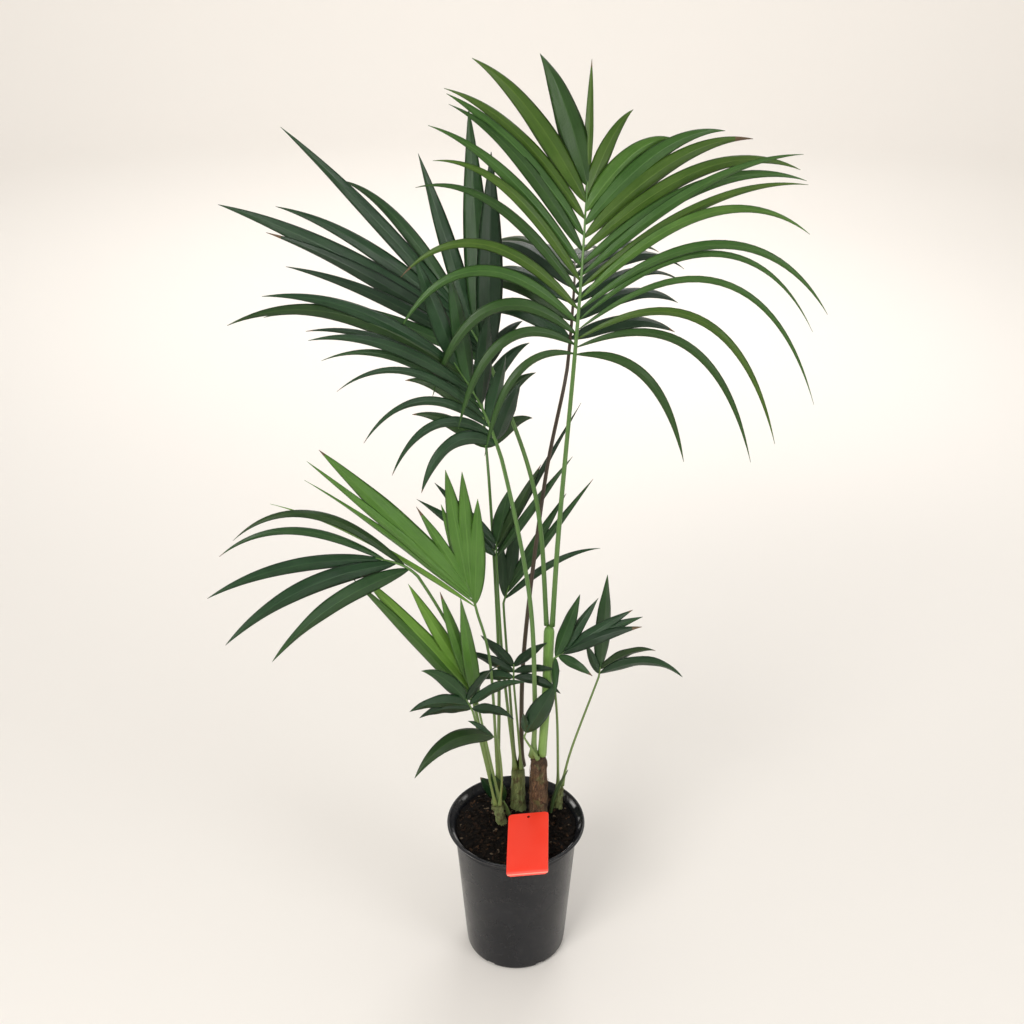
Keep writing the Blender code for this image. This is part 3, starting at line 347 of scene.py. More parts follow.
# Each frond: the stem and the place on its top that the stalk stands on, the stalk's way up to the
# throat, the rib's middle and end, the way the upper face looks, and the leaflets on both sides
FRONDS = {
    "tall": dict(
        stem="stalk_shared", stand=(0.0046, -0.002), via=((0.066, 0.006, 0.84),),
        throat=(0.082, -0.030, 1.129), rib=((0.091, 0.000, 1.250), (0.099, 0.052, 1.374)),
        face=(0.16, -0.92, 0.36), radii=(0.0043, 0.0030, 0.0011), colour="mid",
        left=leaflets(13, (92, 56, 48, 44, 42, 42, 42, 8),
                      (0.19, 0.29, 0.30, 0.28, 0.28, 0.28, 0.27, 0.17),
                      (5.6, 4.0, 1.9, 0.9, 0.7, 0.5, 0.7, 0.5),
                      (0.010, 0.019, 0.015, 0.017, 0.021, 0.022, 0.044), low=0.03, crowd=1.25),
        right=leaflets(16, (96, 54, 48, 45, 46, 46, 41, 24, -10),
                       (0.20, 0.43, 0.46, 0.40, 0.37, 0.36, 0.28, 0.14, 0.18),
                       (4.4, 3.7, 2.5, 1.4, 0.6, 1.0, 0.8, 1.0, -0.3),
                       (0.015, 0.013, 0.009, 0.015, 0.015, 0.022, 0.025, 0.027, 0.007),
                       low=0.03, crowd=1.25)),
    "back": dict(
        stem="stem_middle", stand=(0.0055, 0.0055), via=((0.013, 0.054, 0.58), (0.045, 0.070, 0.89)),
        throat=(0.078, 0.100, 1.070), rib=((0.092, 0.220, 1.170), (0.098, 0.380, 1.170)),
        face=(0.0, -0.3, 1.0), radii=(0.0040, 0.0028, 0.0011), colour="deep",
        left=leaflets(9, (62, 50, 40, 15), (0.16, 0.22, 0.20, 0.16), (1.0, 1.2, 1.0, 0.6), (0.026,)),
        right=leaflets(9, (62, 50, 40, 15), (0.16, 0.22, 0.20, 0.16), (1.0, 1.2, 1.0, 0.6), (0.026,))),
    "left_front": dict(
        stem="stem_main", stand=(-0.0092, -0.001), via=((0.031, 0.000, 0.527), (0.020, -0.020, 0.74)),
        throat=(-0.022, -0.040, 0.981), rib=((-0.051, -0.045, 1.067), (-0.089, -0.045, 1.135)),
        face=(0.30, -0.85, 0.46), radii=(0.0042, 0.0030, 0.0014), colour="deep",
        left=leaflets(10, (44, 34, 22, 24, 24, 22, 26), (0.16, 0.20, 0.27, 0.285, 0.29, 0.36, 0.26),
                      (3.6, 2.0, 1.1, 0.75, 0.7, 1.0, 0.4),
                      (0.026, 0.016, 0.012, 0.016, 0.020, 0.024, 0.018)),
        right=leaflets(5, (44, 34, 20, 8), (0.09, 0.11, 0.17, 0.17), (0.3, 0.1, 0.0), (0.028, 0.030))),
    "left_back": dict(
        stem="stalk_shared", stand=(-0.0046, 0.001), via=((0.038, 0.020, 0.831), (0.016, 0.040, 0.939)),
        throat=(-0.035, 0.060, 1.078), rib=((-0.053, 0.075, 1.113), (-0.076, 0.095, 1.149)),
        face=(-0.20, -0.78, 0.6), radii=(0.0040, 0.0030, 0.0016), colour="deep",
        left=leaflets(6, (38, 36, 33, 31, 17, 4), (0.26, 0.31, 0.37, 0.47, 0.34, 0.475),
                      (0.4, 0.35, 0.35, 0.34, 0.6, -0.1), (0.020, 0.020, 0.026, 0.034, 0.020, 0.024)),
        right=leaflets(4, (26, 24, 8, -2), (0.26, 0.37, 0.26, 0.39), (0.0, 0.0, 0.15, 1.1),
                       (0.034, 0.044, 0.024, 0.020))),
    "centre": dict(
        stem="stem_middle", stand=(-0.0055, -0.0055), via=((-0.022, 0.050, 0.56),),
        throat=(-0.032, 0.060, 0.752), rib=((-0.032, 0.065, 0.768), (-0.032, 0.070, 0.784)),
        face=(0.0, -0.9, 0.4), radii=(0.0028, 0.0020, 0.0013), colour="deep",
        left=leaflets(3, (50, 42, 46), (0.17, 0.145, 0.12), (0.2, 0.1), (0.018, 0.020)),
        right=leaflets(4, (40, 31, 28, 2), (0.16, 0.30, 0.13, 0.06), (0.1, 0.0),
                       (0.022, 0.008, 0.022, 0.030))),
    "centre_low": dict(
        stem="stem_middle", stand=(-0.0055, 0.0055), via=((-0.010, 0.070, 0.48),),
        throat=(-0.021, 0.080, 0.660), rib=((-0.017, 0.083, 0.674), (-0.012, 0.086, 0.692)),
        face=(0.0, -0.9, 0.4), radii=(0.0026, 0.0020, 0.0013), colour="deep",
        left=leaflets(2, (24, 6), (0.11, 0.13), (0.1, 0.0), (0.018, 0.026)),
        right=leaflets(3, (38, 18, 12), (0.15, 0.24, 0.18), (1.0, 0.1, 0.0), (0.013, 0.017))),
    "young": dict(
        stem="stem_left", stand=(0.0048, -0.0048), via=((-0.042, 0.006, 0.585),),
        throat=(-0.062, -0.020, 0.705), rib=((-0.068, -0.020, 0.730), (-0.079, -0.020, 0.761)),
        face=(-0.25, -0.86, 0.46), radii=(0.0027, 0.0022, 0.0014), colour="young",
        left=leaflets(7, (33, 39, 27, 25, 8, -14, -4), (0.40, 0.32, 0.36, 0.33, 0.135, 0.155, 0.105),
                      (0.45, 0.1, 0.05, 0.0), (0.011, 0.013, 0.016, 0.038, 0.018, 0.019, 0.019)),
        right=leaflets(3, (12, 18, 14), (0.175, 0.22, 0.20), (0.0,), (0.032,))),
    "shoot": dict(
        stem="stem_front", stand=(0.0038, 0.0038), via=((-0.045, 0.004, 0.40),),
        throat=(-0.061, 0.000, 0.496), rib=((-0.066, 0.000, 0.524), (-0.074, 0.000, 0.555)),
        face=(0.20, -0.87, 0.46), radii=(0.0024, 0.0020, 0.0013), colour="young",
        left=leaflets(3, (29, 22, 6), (0.36, 0.33, 0.23), (0.1, 0.0), (0.018, 0.028, 0.024)),
        right=leaflets(2, (2, 0), (0.26, 0.23), (0.0,), (0.026, 0.022))),
    "low_left": dict(
        stem="stem_left", stand=(-0.0048, -0.0048), via=((-0.061, 0.020, 0.447), (-0.095, 0.000, 0.629)),
        throat=(-0.152, -0.040, 0.782), rib=((-0.176, -0.045, 0.805), (-0.214, -0.055, 0.823)),
        face=(0.30, -0.74, 0.60), radii=(0.0030, 0.0024, 0.0014), colour="deep",
        left=leaflets(3, (62, 29, 4), (0.26, 0.305, 0.24), (0.95, 0.8, 0.65), (0.029, 0.027, 0.018)),
        right=leaflets(2, (-2, 14), (0.32, 0.27), (1.45, 1.15), (0.016, 0.013))),
    "low_front": dict(
        stem="stem_front", stand=(-0.0038, -0.0038), via=((-0.050, -0.020, 0.40),),
        throat=(-0.070, -0.050, 0.533), rib=((-0.075, -0.052, 0.548), (-0.081, -0.055, 0.563)),
        face=(0.0, -0.75, 0.65), radii=(0.0022, 0.0018, 0.0012), colour="deep",
        left=leaflets(3, (48, 38, -7), (0.095, 0.11, 0.12), (0.8, 0.6), (0.026, 0.024)),
        right=leaflets(3, (128, 70, 36), (0.066, 0.10, 0.09), (1.0, 0.8, 0.5), (0.022, 0.020))),
    "inner": dict(
        stem="stem_middle", stand=(0.0055, -0.0055), via=((0.003, 0.036, 0.44),),
        throat=(-0.004, 0.020, 0.544), rib=((-0.004, 0.020, 0.560), (-0.004, 0.020, 0.580)),
        face=(0.0, -0.8, 0.6), radii=(0.0022, 0.0018, 0.0012), colour="deep",
        left=leaflets(3, (84, 56, 26), (0.07, 0.09, 0.09), (0.8, 0.3, 0.1), (0.022, 0.018)),
        right=leaflets(3, (84, 60, 30), (0.08, 0.09, 0.07), (1.2, 0.5, 0.2), (0.020, 0.018))),
    "right": dict(
        stem="stem_right", stand=(-0.0033, -0.0033), via=((0.070, 0.030, 0.46),),
        throat=(0.060, 0.000, 0.601), rib=((0.070, 0.000, 0.611), (0.081, 0.000, 0.619)),
        face=(-0.25, -0.77, 0.60), radii=(0.0024, 0.0019, 0.0012), colour="deep",
        left=leaflets(3, (32, 20, -7), (0.11, 0.115, 0.14), (0.0, 0.1, 0.2), (0.024, 0.020)),
        right=leaflets(4, (150, 66, 0, 3), (0.065, 0.06, 0.15, 0.13), (0.4, 0.3, 0.4, 0.2),
                       (0.012, 0.020, 0.020))),
    "far_right": dict(
        stem="stem_right", stand=(0.0033, 0.0033), via=((0.098, 0.065, 0.373),),
        throat=(0.142, 0.080, 0.513), rib=((0.143, 0.080, 0.523), (0.144, 0.080, 0.534)),
        face=(0.25, -0.82, 0.5), radii=(0.0022, 0.0018, 0.0012), colour="deep",
        left=leaflets(2, (40, -9), (0.024, 0.25), (0.0,), (0.008, 0.036)),
        right=leaflets(2, (59, 37), (0.18, 0.086), (1.9, 0.5), (0.026, 0.020))),
    "rear": dict(
        stem="stem_left", stand=(0.0048, 0.0048), via=((-0.030, 0.090, 0.56),),
        throat=(-0.045, 0.150, 0.860), rib=((-0.060, 0.230, 0.990), (-0.080, 0.340, 1.040)),
        face=(0.0, -0.5, 1.0), radii=(0.0032, 0.0024, 0.0011), colour="deep",
        left=leaflets(6, (50, 42, 34, 14), (0.12, 0.17, 0.17, 0.14), (0.8, 0.8, 0.7, 0.5), (0.024,)),
        right=leaflets(6, (46, 38, 30, 14), (0.09, 0.13, 0.15, 0.14), (0.8, 0.8, 0.7, 0.5), (0.024,))),
    "lowest": dict(
        stem="stem_front", stand=(0.0038, -0.0038), via=((-0.024, -0.020, 0.38),),
        throat=(-0.030, -0.045, 0.474), rib=((-0.036, -0.050, 0.484), (-0.046, -0.054, 0.490)),
        face=(0.0, -0.4, 0.9), radii=(0.0020, 0.0016, 0.0012), colour="deep",
        left=leaflets(1, (14,), (0.185,), (1.3,), (0.030,)),
        right=leaflets(1, (16,), (0.06,), (0.5,), (0.014,))),
    "inner_low": dict(
        stem="stem_main", stand=(-0.002, -0.0105), via=((0.026, -0.004, 0.425),),
        throat=(0.014, -0.004, 0.448), rib=((0.016, -0.006, 0.458), (0.020, -0.008, 0.468)),
        face=(0.0, -0.9, 0.4), radii=(0.0020, 0.0017, 0.0012), colour="deep",
        left=leaflets(1, (22,), (0.05,), (0.3,), (0.016,)),
        right=leaflets(1, (4,), (0.135,), (0.0,), (0.036,))),
    "sprout": dict(
        stem="stem_sprout", stand=(0.0, 0.0), via=((-0.0155, 0.0255, 0.270),),
        throat=(-0.018, 0.025, 0.280), rib=((-0.021, 0.0245, 0.288), (-0.024, 0.024, 0.296)),
        face=(0.0, -0.9, 0.3), radii=(0.0018, 0.0015, 0.0010), colour="deep",
        left=leaflets(1, (10,), (0.075,), (0.1,), (0.030,)),
        right=leaflets(1, (4,), (0.070,), (0.0,), (0.026,))),
}


def profile_at(values, share):
    """Read a profile given as evenly spaced values, at a share of its run from 0 to 1."""
    if len(values) == 1:
        return values[0]
    place = min(max(share, 0.0), 1.0) * (len(values) - 1)
    low = min(int(place), len(values) - 2)
    return values[low] + (values[low + 1] - values[low]) * (place - low)


def smooth_path(points, count, before=None, after=None):
    """Evenly placed points on a smooth curve through the given ones, which may carry on a curve."""
    knots = [Vector(p) for p in points]
    first = Vector(before) if before else knots[0] * 2 - knots[1]
    last = Vector(after) if after else knots[-1] * 2 - knots[-2]
    knots = [first] + knots + [last]
    fine = []
    for i in range(1, len(knots) - 2):
        lead, start, end, follow = knots[i - 1:i + 3]
        for step in range(CURVE_STEPS):
            t = step / CURVE_STEPS
            fine.append(0.5 * (2 * start + (end - lead) * t
                               + (2 * lead - 5 * start + 4 * end - follow) * t * t
                               + (3 * start - lead - 3 * end + follow) * t ** 3))
    fine.append(knots[-2])
    run = [0.0]
    for a, b in zip(fine, fine[1:]):
        run.append(run[-1] + (b - a).length)
    path = []
    k = 0
    for i in range(count):
        goal = run[-1] * i / (count - 1)
        while k < len(fine) - 2 and run[k + 1] < goal:
            k += 1
        share = (goal - run[k]) / max(run[k + 1] - run[k], 1e-9)
        path.append(fine[k].lerp(fine[k + 1], min(share, 1.0)))
    return path


def heading_at(path, i):
    """The way that a path runs at one of its points."""
    return (path[min(i + 1, len(path) - 1)] - path[max(i - 1, 0)]).normalized()


def spoke(turn):
    """A level direction at an angle round the Z axis."""
    return Vector((math.cos(turn), math.sin(turn), 0.0))


def turns(count):
    """Angles that part a circle evenly."""
    return [2 * math.pi * k / count for k in range(count)]


def loft(bm, rings, open_end=False):
    """Join rings of points into one skin, closed unless its end is open; a ring of one point closes to it."""
    loops = [[bm.verts.new(p) for p in ring] for ring in rings]
    for low, high in zip(loops, loops[1:]):
        sides = max(len(low), len(high))
        for i in range(sides):
            j = (i + 1) % sides
            if len(low) == 1:
                bm.faces.new((low[0], high[j], high[i]))
            elif len(high) == 1:
                bm.faces.new((low[i], low[j], high[0]))
            else:
                bm.faces.new((low[i], low[j], high[j], high[i]))
    ends = [loops[0][::-1]]
    if not open_end:
        ends.append(loops[-1])
    for end in ends:
        if len(end) > 2:
            bm.faces.new(end)


def leaf_shape(share, width):
    """How wide a leaflet is at a share of its length."""
    power = math.log(0.5) / math.log(LEAF_BELLY)
    return width * math.sin(math.pi * share ** power) ** LEAF_FULLNESS


def leaf_points(leaf, steps):
    """Middle points and frames down a leaflet that bends to the ground as its droop grows."""
    aim = leaf["aim"]
    heading = aim.normalized()
    upper = (leaf["face"] - leaf["face"].dot(heading) * heading).normalized()
    across = heading.cross(upper)
    point = leaf["root"].copy()
    frames = []
    for i in range(steps + 1):
        frames.append((point.copy(), heading.copy(), across.copy()))
        turned_to = (aim + DOWN * leaf["droop"] * ((i + 0.5) / steps) ** BEND_POWER).normalized()
        across.rotate(heading.rotation_difference(turned_to))
        heading = turned_to
        point += heading * leaf["length"] / steps
    return frames


def leaflet_room(leaf):
    """The space that a leaflet takes, as the plain closed skin of its solid with a little to spare."""
    frames = leaf_points(leaf, BEND_STEPS)
    rings = [[frames[0][0]]]
    for station in SHORT_STATIONS if leaf["length"] < SHORT_LEAF else LONG_STATIONS:
        point, heading, across = frames[round(station * BEND_STEPS)]
        half = leaf_shape(station, leaf["width"]) / 2 + GUARD
        depth = max(leaf["length"] * SLENDERNESS, 2 * half * FOLD)
        upper = across.cross(heading) * (depth / 2 + GUARD)
        rings.append([point - across * half - upper, point + across * half - upper, point + upper])
    rings.append([frames[-1][0]])
    return rings


def tree_of(bm):
    """A search tree of a skin, for finding what it touches."""
    bmesh.ops.triangulate(bm, faces=bm.faces)
    tree = BVHTree.FromBMesh(bm)
    bm.free()
    return tree


def room_tree(leaf):
    """A search tree of the room that a leaflet takes."""
    bm = bmesh.new()
    loft(bm, leaflet_room(leaf))
    return tree_of(bm)


def node_tree(name):
    """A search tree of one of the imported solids."""
    bm = bmesh.new()
    bm.from_mesh(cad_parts[name].data)
    return tree_of(bm)


def side_leaves(side, spec, path, frames, chance):
    """The leaflets of one side of a rib, before any of them is moved for room."""
    leaves = []
    for i in range(spec["count"]):
        share = (i + 0.5) / spec["count"]
        place = spec["low"] + (1.0 - spec["low"]) * share ** spec["crowd"]
        seat = place * (len(path) - 1)
        low = min(int(seat), len(path) - 2)
        root = path[low].lerp(path[low + 1], seat - low)
        forward, across, upper = frames[low]
        angle = profile_at(spec["angle"], share) + chance.uniform(-TURN_SPREAD, TURN_SPREAD)
        angle = math.radians(angle)
        lift = math.radians(spec["lift"] + chance.uniform(-LIFT_SPREAD, LIFT_SPREAD))
        out = across * side * math.cos(lift) + upper * math.sin(lift)
        leaves.append(dict(
            root=root, upper=upper, face=upper, aim=forward * math.cos(angle) + out * math.sin(angle),
            length=profile_at(spec["length"], share) * chance.uniform(*LENGTH_SPREAD),
            droop=profile_at(spec["droop"], share) * chance.uniform(*DROOP_SPREAD),
            width=profile_at(spec["width"], share) * chance.uniform(*WIDTH_SPREAD)))
    return leaves


def find_room(leaf, obstacles):
    """Lift or lower a leaflet until it is clear of the other parts; None if it never is."""
    for turn in ROOM_SEARCH:
        tilt = math.radians(turn)
        aim = leaf["aim"] * math.cos(tilt) + leaf["upper"] * math.sin(tilt)
        face = leaf["upper"] * math.cos(tilt) - leaf["aim"] * math.sin(tilt)
        moved = dict(leaf, aim=aim, face=face)
        tree = room_tree(moved)
        if not any(tree.overlap(other) for other in obstacles):
            return moved
    return None


def throat_heading(frond):
    """The way that stalk and rib share where they meet."""
    return (Vector(frond["rib"][0]) - Vector(frond["via"][-1])).normalized()


def rib_lead(frond):
    """A point under the throat that starts the rib's curve the way that the stalk comes up."""
    throat = Vector(frond["throat"])
    return throat - throat_heading(frond) * (Vector(frond["rib"][0]) - throat).length


def rib_path(frond):
    """The rib's middle line, from just above the stalk to the frond's end."""
    path = smooth_path((frond["throat"], *frond["rib"]), RIB_RINGS, before=rib_lead(frond))
    path[0] = path[0] + throat_heading(frond) * GAP
    return path


def rib_frames(path, face):
    """Forward, right-hand and upper directions along a rib whose upper side looks to face."""
    frames = []
    for i in range(len(path)):
        forward = heading_at(path, i)
        across = forward.cross(Vector(face)).normalized()
        frames.append((forward, across, across.cross(forward)))
    return frames


def add_object(name, data):
    """A new object in the scene."""
    made = bpy.data.objects.new(name, data)
    bpy.context.scene.collection.objects.link(made)
    return made


def mesh_object(name, bm):
    """A new object from a mesh that is done with."""
    mesh = bpy.data.meshes.new(name)
    bm.to_mesh(mesh)
    bm.free()
    return add_object(name, mesh)


def piece(name, bm, finishes, stands_for=(), smooth=True):
    """A finished mesh piece that rides with the plant, with its finishes and the nodes it replaces."""
    made = mesh_object(name, bm)
    for finish in finishes:
        made.data.materials.append(finish)
    if smooth:
        made.data.shade_smooth()
    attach(made, "root")
    if stands_for:
        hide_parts(*stands_for)
    return made


def write_grain(mesh, values):
    """Keep the places across and along each point of a grained piece, for its material."""
    layer = mesh.attributes.new("grain", "FLOAT_VECTOR", "POINT")
    flat = [number for value in values for number in value]
    layer.data.foreach_set("vector", flat)


def skin_piece(name, rings, finish, node, grains=()):
    """A piece made of one closed skin, which stands for one node, with its grain if it has one."""
    bm = bmesh.new()
    loft(bm, rings)
    bmesh.ops.recalc_face_normals(bm, faces=bm.faces)
    made = piece(name, bm, [finish], [node])
    if grains:
        write_grain(made.data, grains)
    return made


def feed(tree, socket, value):
    """Link a socket to another one, or give it a number or a colour."""
    if isinstance(value, bpy.types.NodeSocket):
        tree.links.new(value, socket)
    elif isinstance(value, tuple):
        socket.default_value = (*value, 1.0)
    else:
        socket.default_value = value


def place_node(tree, kind, settings=None, **sockets):
    """A shader node with its settings, and with values or links given by socket name."""
    node = tree.nodes.new(kind)
    for key, value in (settings or {}).items():
        setattr(node, key, value)
    for key, value in sockets.items():
        feed(tree, node.inputs[key.replace("_", " ")], value)
    return node


def new_group(name, inputs, outputs):
    """An empty shader node group, the number sockets that it is given and those that it gives back."""
    group = bpy.data.node_groups.new(name, "ShaderNodeTree")
    for label, value in inputs.items():
        socket = group.interface.new_socket(label, in_out="INPUT", socket_type="NodeSocketFloat")
        socket.default_value = value
    for label in outputs:
        group.interface.new_socket(label, in_out="OUTPUT", socket_type="NodeSocketFloat")
    start = group.nodes.new("NodeGroupInput")
    end = group.nodes.new("NodeGroupOutput")
    return group, start.outputs, end.inputs


def use_group(tree, group, **values):
    """The outputs of one of the shared effects, placed in a material with its own values."""
    return place_node(tree, "ShaderNodeGroup", {"node_tree": group}, **values).outputs


def calculate(tree, operation, *values):
    """The result of one sum on numbers or sockets."""
    node = place_node(tree, "ShaderNodeMath", {"operation": operation})
    for socket, value in zip(node.inputs, values):
        feed(tree, socket, value)
    return node.outputs[0]


def spread(tree, value, low, high, to_low=0.0, to_high=1.0):
    """A value carried from one range to another, held at its ends."""
    node = place_node(tree, "ShaderNodeMapRange", {"clamp": True}, Value=value, From_Min=low,
                      From_Max=high, To_Min=to_low, To_Max=to_high)
    return node.outputs["Result"]


def blend(tree, mask, first, second, share=1.0):
    """The second colour over the first, as much as the mask says, or only a share of that."""
    if share != 1.0:
        mask = calculate(tree, "MULTIPLY", mask, share)
    node = place_node(tree, "ShaderNodeMix", {"data_type": "RGBA"})
    for place, value in ((0, mask), (6, first), (7, second)):
        feed(tree, node.inputs[place], value)
    return node.outputs[2]


def parts_of(tree, vector):
    """The X, Y and Z of a vector."""
    return place_node(tree, "ShaderNodeSeparateXYZ", Vector=vector).outputs


def object_place(tree):
    """The place of each point in its own object."""
    return tree.nodes.new("ShaderNodeTexCoord").outputs["Object"]


def clouds(tree, scale, detail, roughness=0.5):
    """Cloudy values from 0 to 1."""
    made = place_node(tree, "ShaderNodeTexNoise", Vector=object_place(tree), Scale=scale, Detail=detail,
                      Roughness=roughness)
    return made.outputs["Fac"]


def make_mottling():
    """Cloudy patches: a mask from 0 to 1 at a given scale and sharpness."""
    group, given, end = new_group("mottling", {"Scale": 40.0, "Low": 0.35, "High": 0.65}, ("Mask",))
    soft = clouds(group, given["Scale"], 4.0, 0.55)
    feed(group, end["Mask"], spread(group, soft, given["Low"], given["High"]))
    return group


def make_long_grain():
    """Fine lines that run the length of a leaflet, stalk or sheath, and the mask of its midrib.

    They follow the mesh's own "grain" values: metres across, metres along and a number per piece.
    """
    group, given, end = new_group(
        "long_grain", {"Spacing": 0.0012, "Stretch": 30.0, "Midrib Width": 0.0006},
        ("Lines", "Streaks", "Midrib"))
    grain = place_node(group, "ShaderNodeAttribute", {"attribute_name": "grain"}).outputs["Vector"]
    parts = parts_of(group, grain)
    turn = calculate(group, "MULTIPLY", calculate(group, "DIVIDE", parts["X"], given["Spacing"]), 2 * math.pi)
    feed(group, end["Lines"], calculate(group, "MULTIPLY_ADD", calculate(group, "SINE", turn), 0.5, 0.5))
    along = calculate(group, "DIVIDE", parts["Y"], given["Stretch"])
    place = place_node(group, "ShaderNodeCombineXYZ", X=parts["X"], Y=along, Z=parts["Z"]).outputs["Vector"]
    streaks = place_node(group, "ShaderNodeTexNoise", Vector=place, Scale=900.0, Detail=3.0)
    feed(group, end["Streaks"], streaks.outputs["Fac"])
    near = calculate(group, "DIVIDE", calculate(group, "ABSOLUTE", parts["X"]), given["Midrib Width"])
    feed(group, end["Midrib"], spread(group, near, 0.4, 1.4, 1.0, 0.0))
    return group


def make_fine_grain():
    """The fine pebbled surface of moulded plastic and peat: a height from 0 to 1."""
    group, given, end = new_group("fine_grain", {"Scale": 900.0, "Coarse Share": 0.3}, ("Height",))
    coarse_scale = calculate(group, "MULTIPLY", given["Scale"], 0.12)
    ease = calculate(group, "SUBTRACT", 1.0, given["Coarse Share"])
    small = calculate(group, "MULTIPLY", clouds(group, given["Scale"], 2.0), ease)
    large = calculate(group, "MULTIPLY", clouds(group, coarse_scale, 3.0), given["Coarse Share"])
    feed(group, end["Height"], calculate(group, "ADD", small, large))
    return group


def make_dust():
    """Dust and splashed soil: thick where the surface faces up, and in thin scattered patches elsewhere."""
    group, given, end = new_group("dust", {"Amount": 0.5, "Scale": 60.0}, ("Mask",))
    up = parts_of(group, group.nodes.new("ShaderNodeNewGeometry").outputs["Normal"])["Z"]
    splashes = spread(group, clouds(group, given["Scale"], 6.0, 0.65), 0.52, 0.78)
    both = calculate(group, "ADD", splashes, spread(group, up, 0.1, 0.9, 0.0, 0.35))
    feed(group, end["Mask"], calculate(group, "MULTIPLY", both, given["Amount"]))
    return group


MOTTLING = make_mottling()
LONG_GRAIN = make_long_grain()
FINE_GRAIN = make_fine_grain()
DUST = make_dust()


def patches(tree, scale, low, high):
    """The mask of the mottling, with a material's own values."""
    return use_group(tree, MOTTLING, Scale=scale, Low=low, High=high)["Mask"]


def pebbles(tree, scale, coarse):
    """The height of the fine grain, with a material's own values."""
    return use_group(tree, FINE_GRAIN, Scale=scale, Coarse_Share=coarse)["Height"]


def long_lines(tree, spacing, stretch, midrib):
    """The lines, streaks and midrib of the long grain, with a material's own values."""
    return use_group(tree, LONG_GRAIN, Spacing=spacing, Stretch=stretch, Midrib_Width=midrib)


def new_material(name, sheen=None):
    """A material with only its Principled shader and its output, and its sheen if it has its own."""
    made = bpy.data.materials.new(name)
    made.use_nodes = True
    if sheen is not None:
        made.node_tree.nodes["Principled BSDF"].inputs["Specular IOR Level"].default_value = sheen
    return made, made.node_tree


def dress(made, colour, roughness, height, depth):
    """Give a material its colour, its roughness and fine relief from a height, as deep as depth in metres."""
    tree = made.node_tree
    shader = tree.nodes["Principled BSDF"]
    feed(tree, shader.inputs["Base Color"], colour)
    feed(tree, shader.inputs["Roughness"], roughness)
    bump = place_node(tree, "ShaderNodeBump", Height=height, Distance=depth, Strength=1.0)
    tree.links.new(bump.outputs["Normal"], shader.inputs["Normal"])
    return made


def tint(colour, factor):
    """A colour made lighter or darker, or toned by a factor for each channel."""
    factors = factor if isinstance(factor, tuple) else (factor,) * 3
    return tuple(min(channel * by, 1.0) for channel, by in zip(colour, factors))


def leaf_material(name, colour, pale, roughness, vein_depth):
    """A leaflet's skin: parallel veins, cloudy greens, a paler midrib and a waxy surface."""
    made, tree = new_material(name, LEAF_SHEEN)
    veins = long_lines(tree, 0.0016, 34.0, 0.0007)
    cloudy = patches(tree, 26.0, 0.34, 0.70)
    streaks = spread(tree, veins["Streaks"], 0.36, 0.66)
    look = blend(tree, streaks, tint(colour, 0.84), tint(colour, 1.14))
    for mask, share in ((cloudy, 0.34), (veins["Lines"], 0.10), (veins["Midrib"], 0.5)):
        look = blend(tree, mask, look, pale, share)
    gloss = spread(tree, cloudy, 0.0, 1.0, roughness, roughness + 0.12)
    height = calculate(tree, "MULTIPLY_ADD", veins["Lines"], 0.7, veins["Streaks"])
    return dress(made, look, gloss, height, vein_depth)


def dry_tip_material():
    """The brown, papery end of a leaflet."""
    made, tree = new_material("dry_leaf_tip")
    streaks = long_lines(tree, 0.0011, 20.0, 0.0004)["Streaks"]
    roughness = spread(tree, streaks, 0.3, 0.7, 0.66, 0.85)
    return dress(made, blend(tree, streaks, DRY_BROWN, DRY_PALE), roughness, streaks, 0.0004)


def stalk_material(name, colour, pale, dark, foot):
    """A waxy stalk: long streaks, a paler bloom in patches and small dark specks of scurf."""
    made, tree = new_material(name)
    lines = long_lines(tree, 0.0020, 60.0, 0.0006)
    bloom = patches(tree, 18.0, 0.42, 0.74)
    specks = patches(tree, 420.0, 0.66, 0.74)
    look = blend(tree, spread(tree, lines["Streaks"], 0.34, 0.68), colour, pale)
    look = blend(tree, bloom, look, pale, 0.35)
    height = parts_of(tree, object_place(tree))["Z"]
    low = spread(tree, height, STALK_PALE_AT, STALK_PALE_FROM, 0.62, 0.0)
    look = blend(tree, specks, blend(tree, low, look, foot), dark, 0.55)
    roughness = spread(tree, bloom, 0.0, 1.0, 0.36, 0.55)
    return dress(made, look, roughness, calculate(tree, "ADD", lines["Streaks"], lines["Lines"]), 0.0003)


def sheath_material(name, fibre, dry, flesh, showing):
    """An old leaf sheath: coarse long fibres, with the flesh of the stem showing between them in places."""
    made, tree = new_material(name)
    fibres = long_lines(tree, 0.0012, 22.0, 0.0004)
    worn = patches(tree, 60.0, 0.62 - 0.3 * showing, 0.76 - 0.3 * showing)
    shade = patches(tree, 95.0, 0.44, 0.60)
    brown = blend(tree, spread(tree, fibres["Streaks"], 0.38, 0.60), fibre, dry)
    pale = blend(tree, spread(tree, fibres["Streaks"], 0.34, 0.60), tint(flesh, 0.65), flesh)
    look = blend(tree, shade, blend(tree, worn, brown, pale), tint(fibre, 0.4), 0.45 * (1.1 - showing))
    roughness = spread(tree, worn, 0.0, 1.0, 0.90, 0.50)
    return dress(made, look, roughness, calculate(tree, "ADD", fibres["Streaks"], fibres["Lines"]), 0.0009)


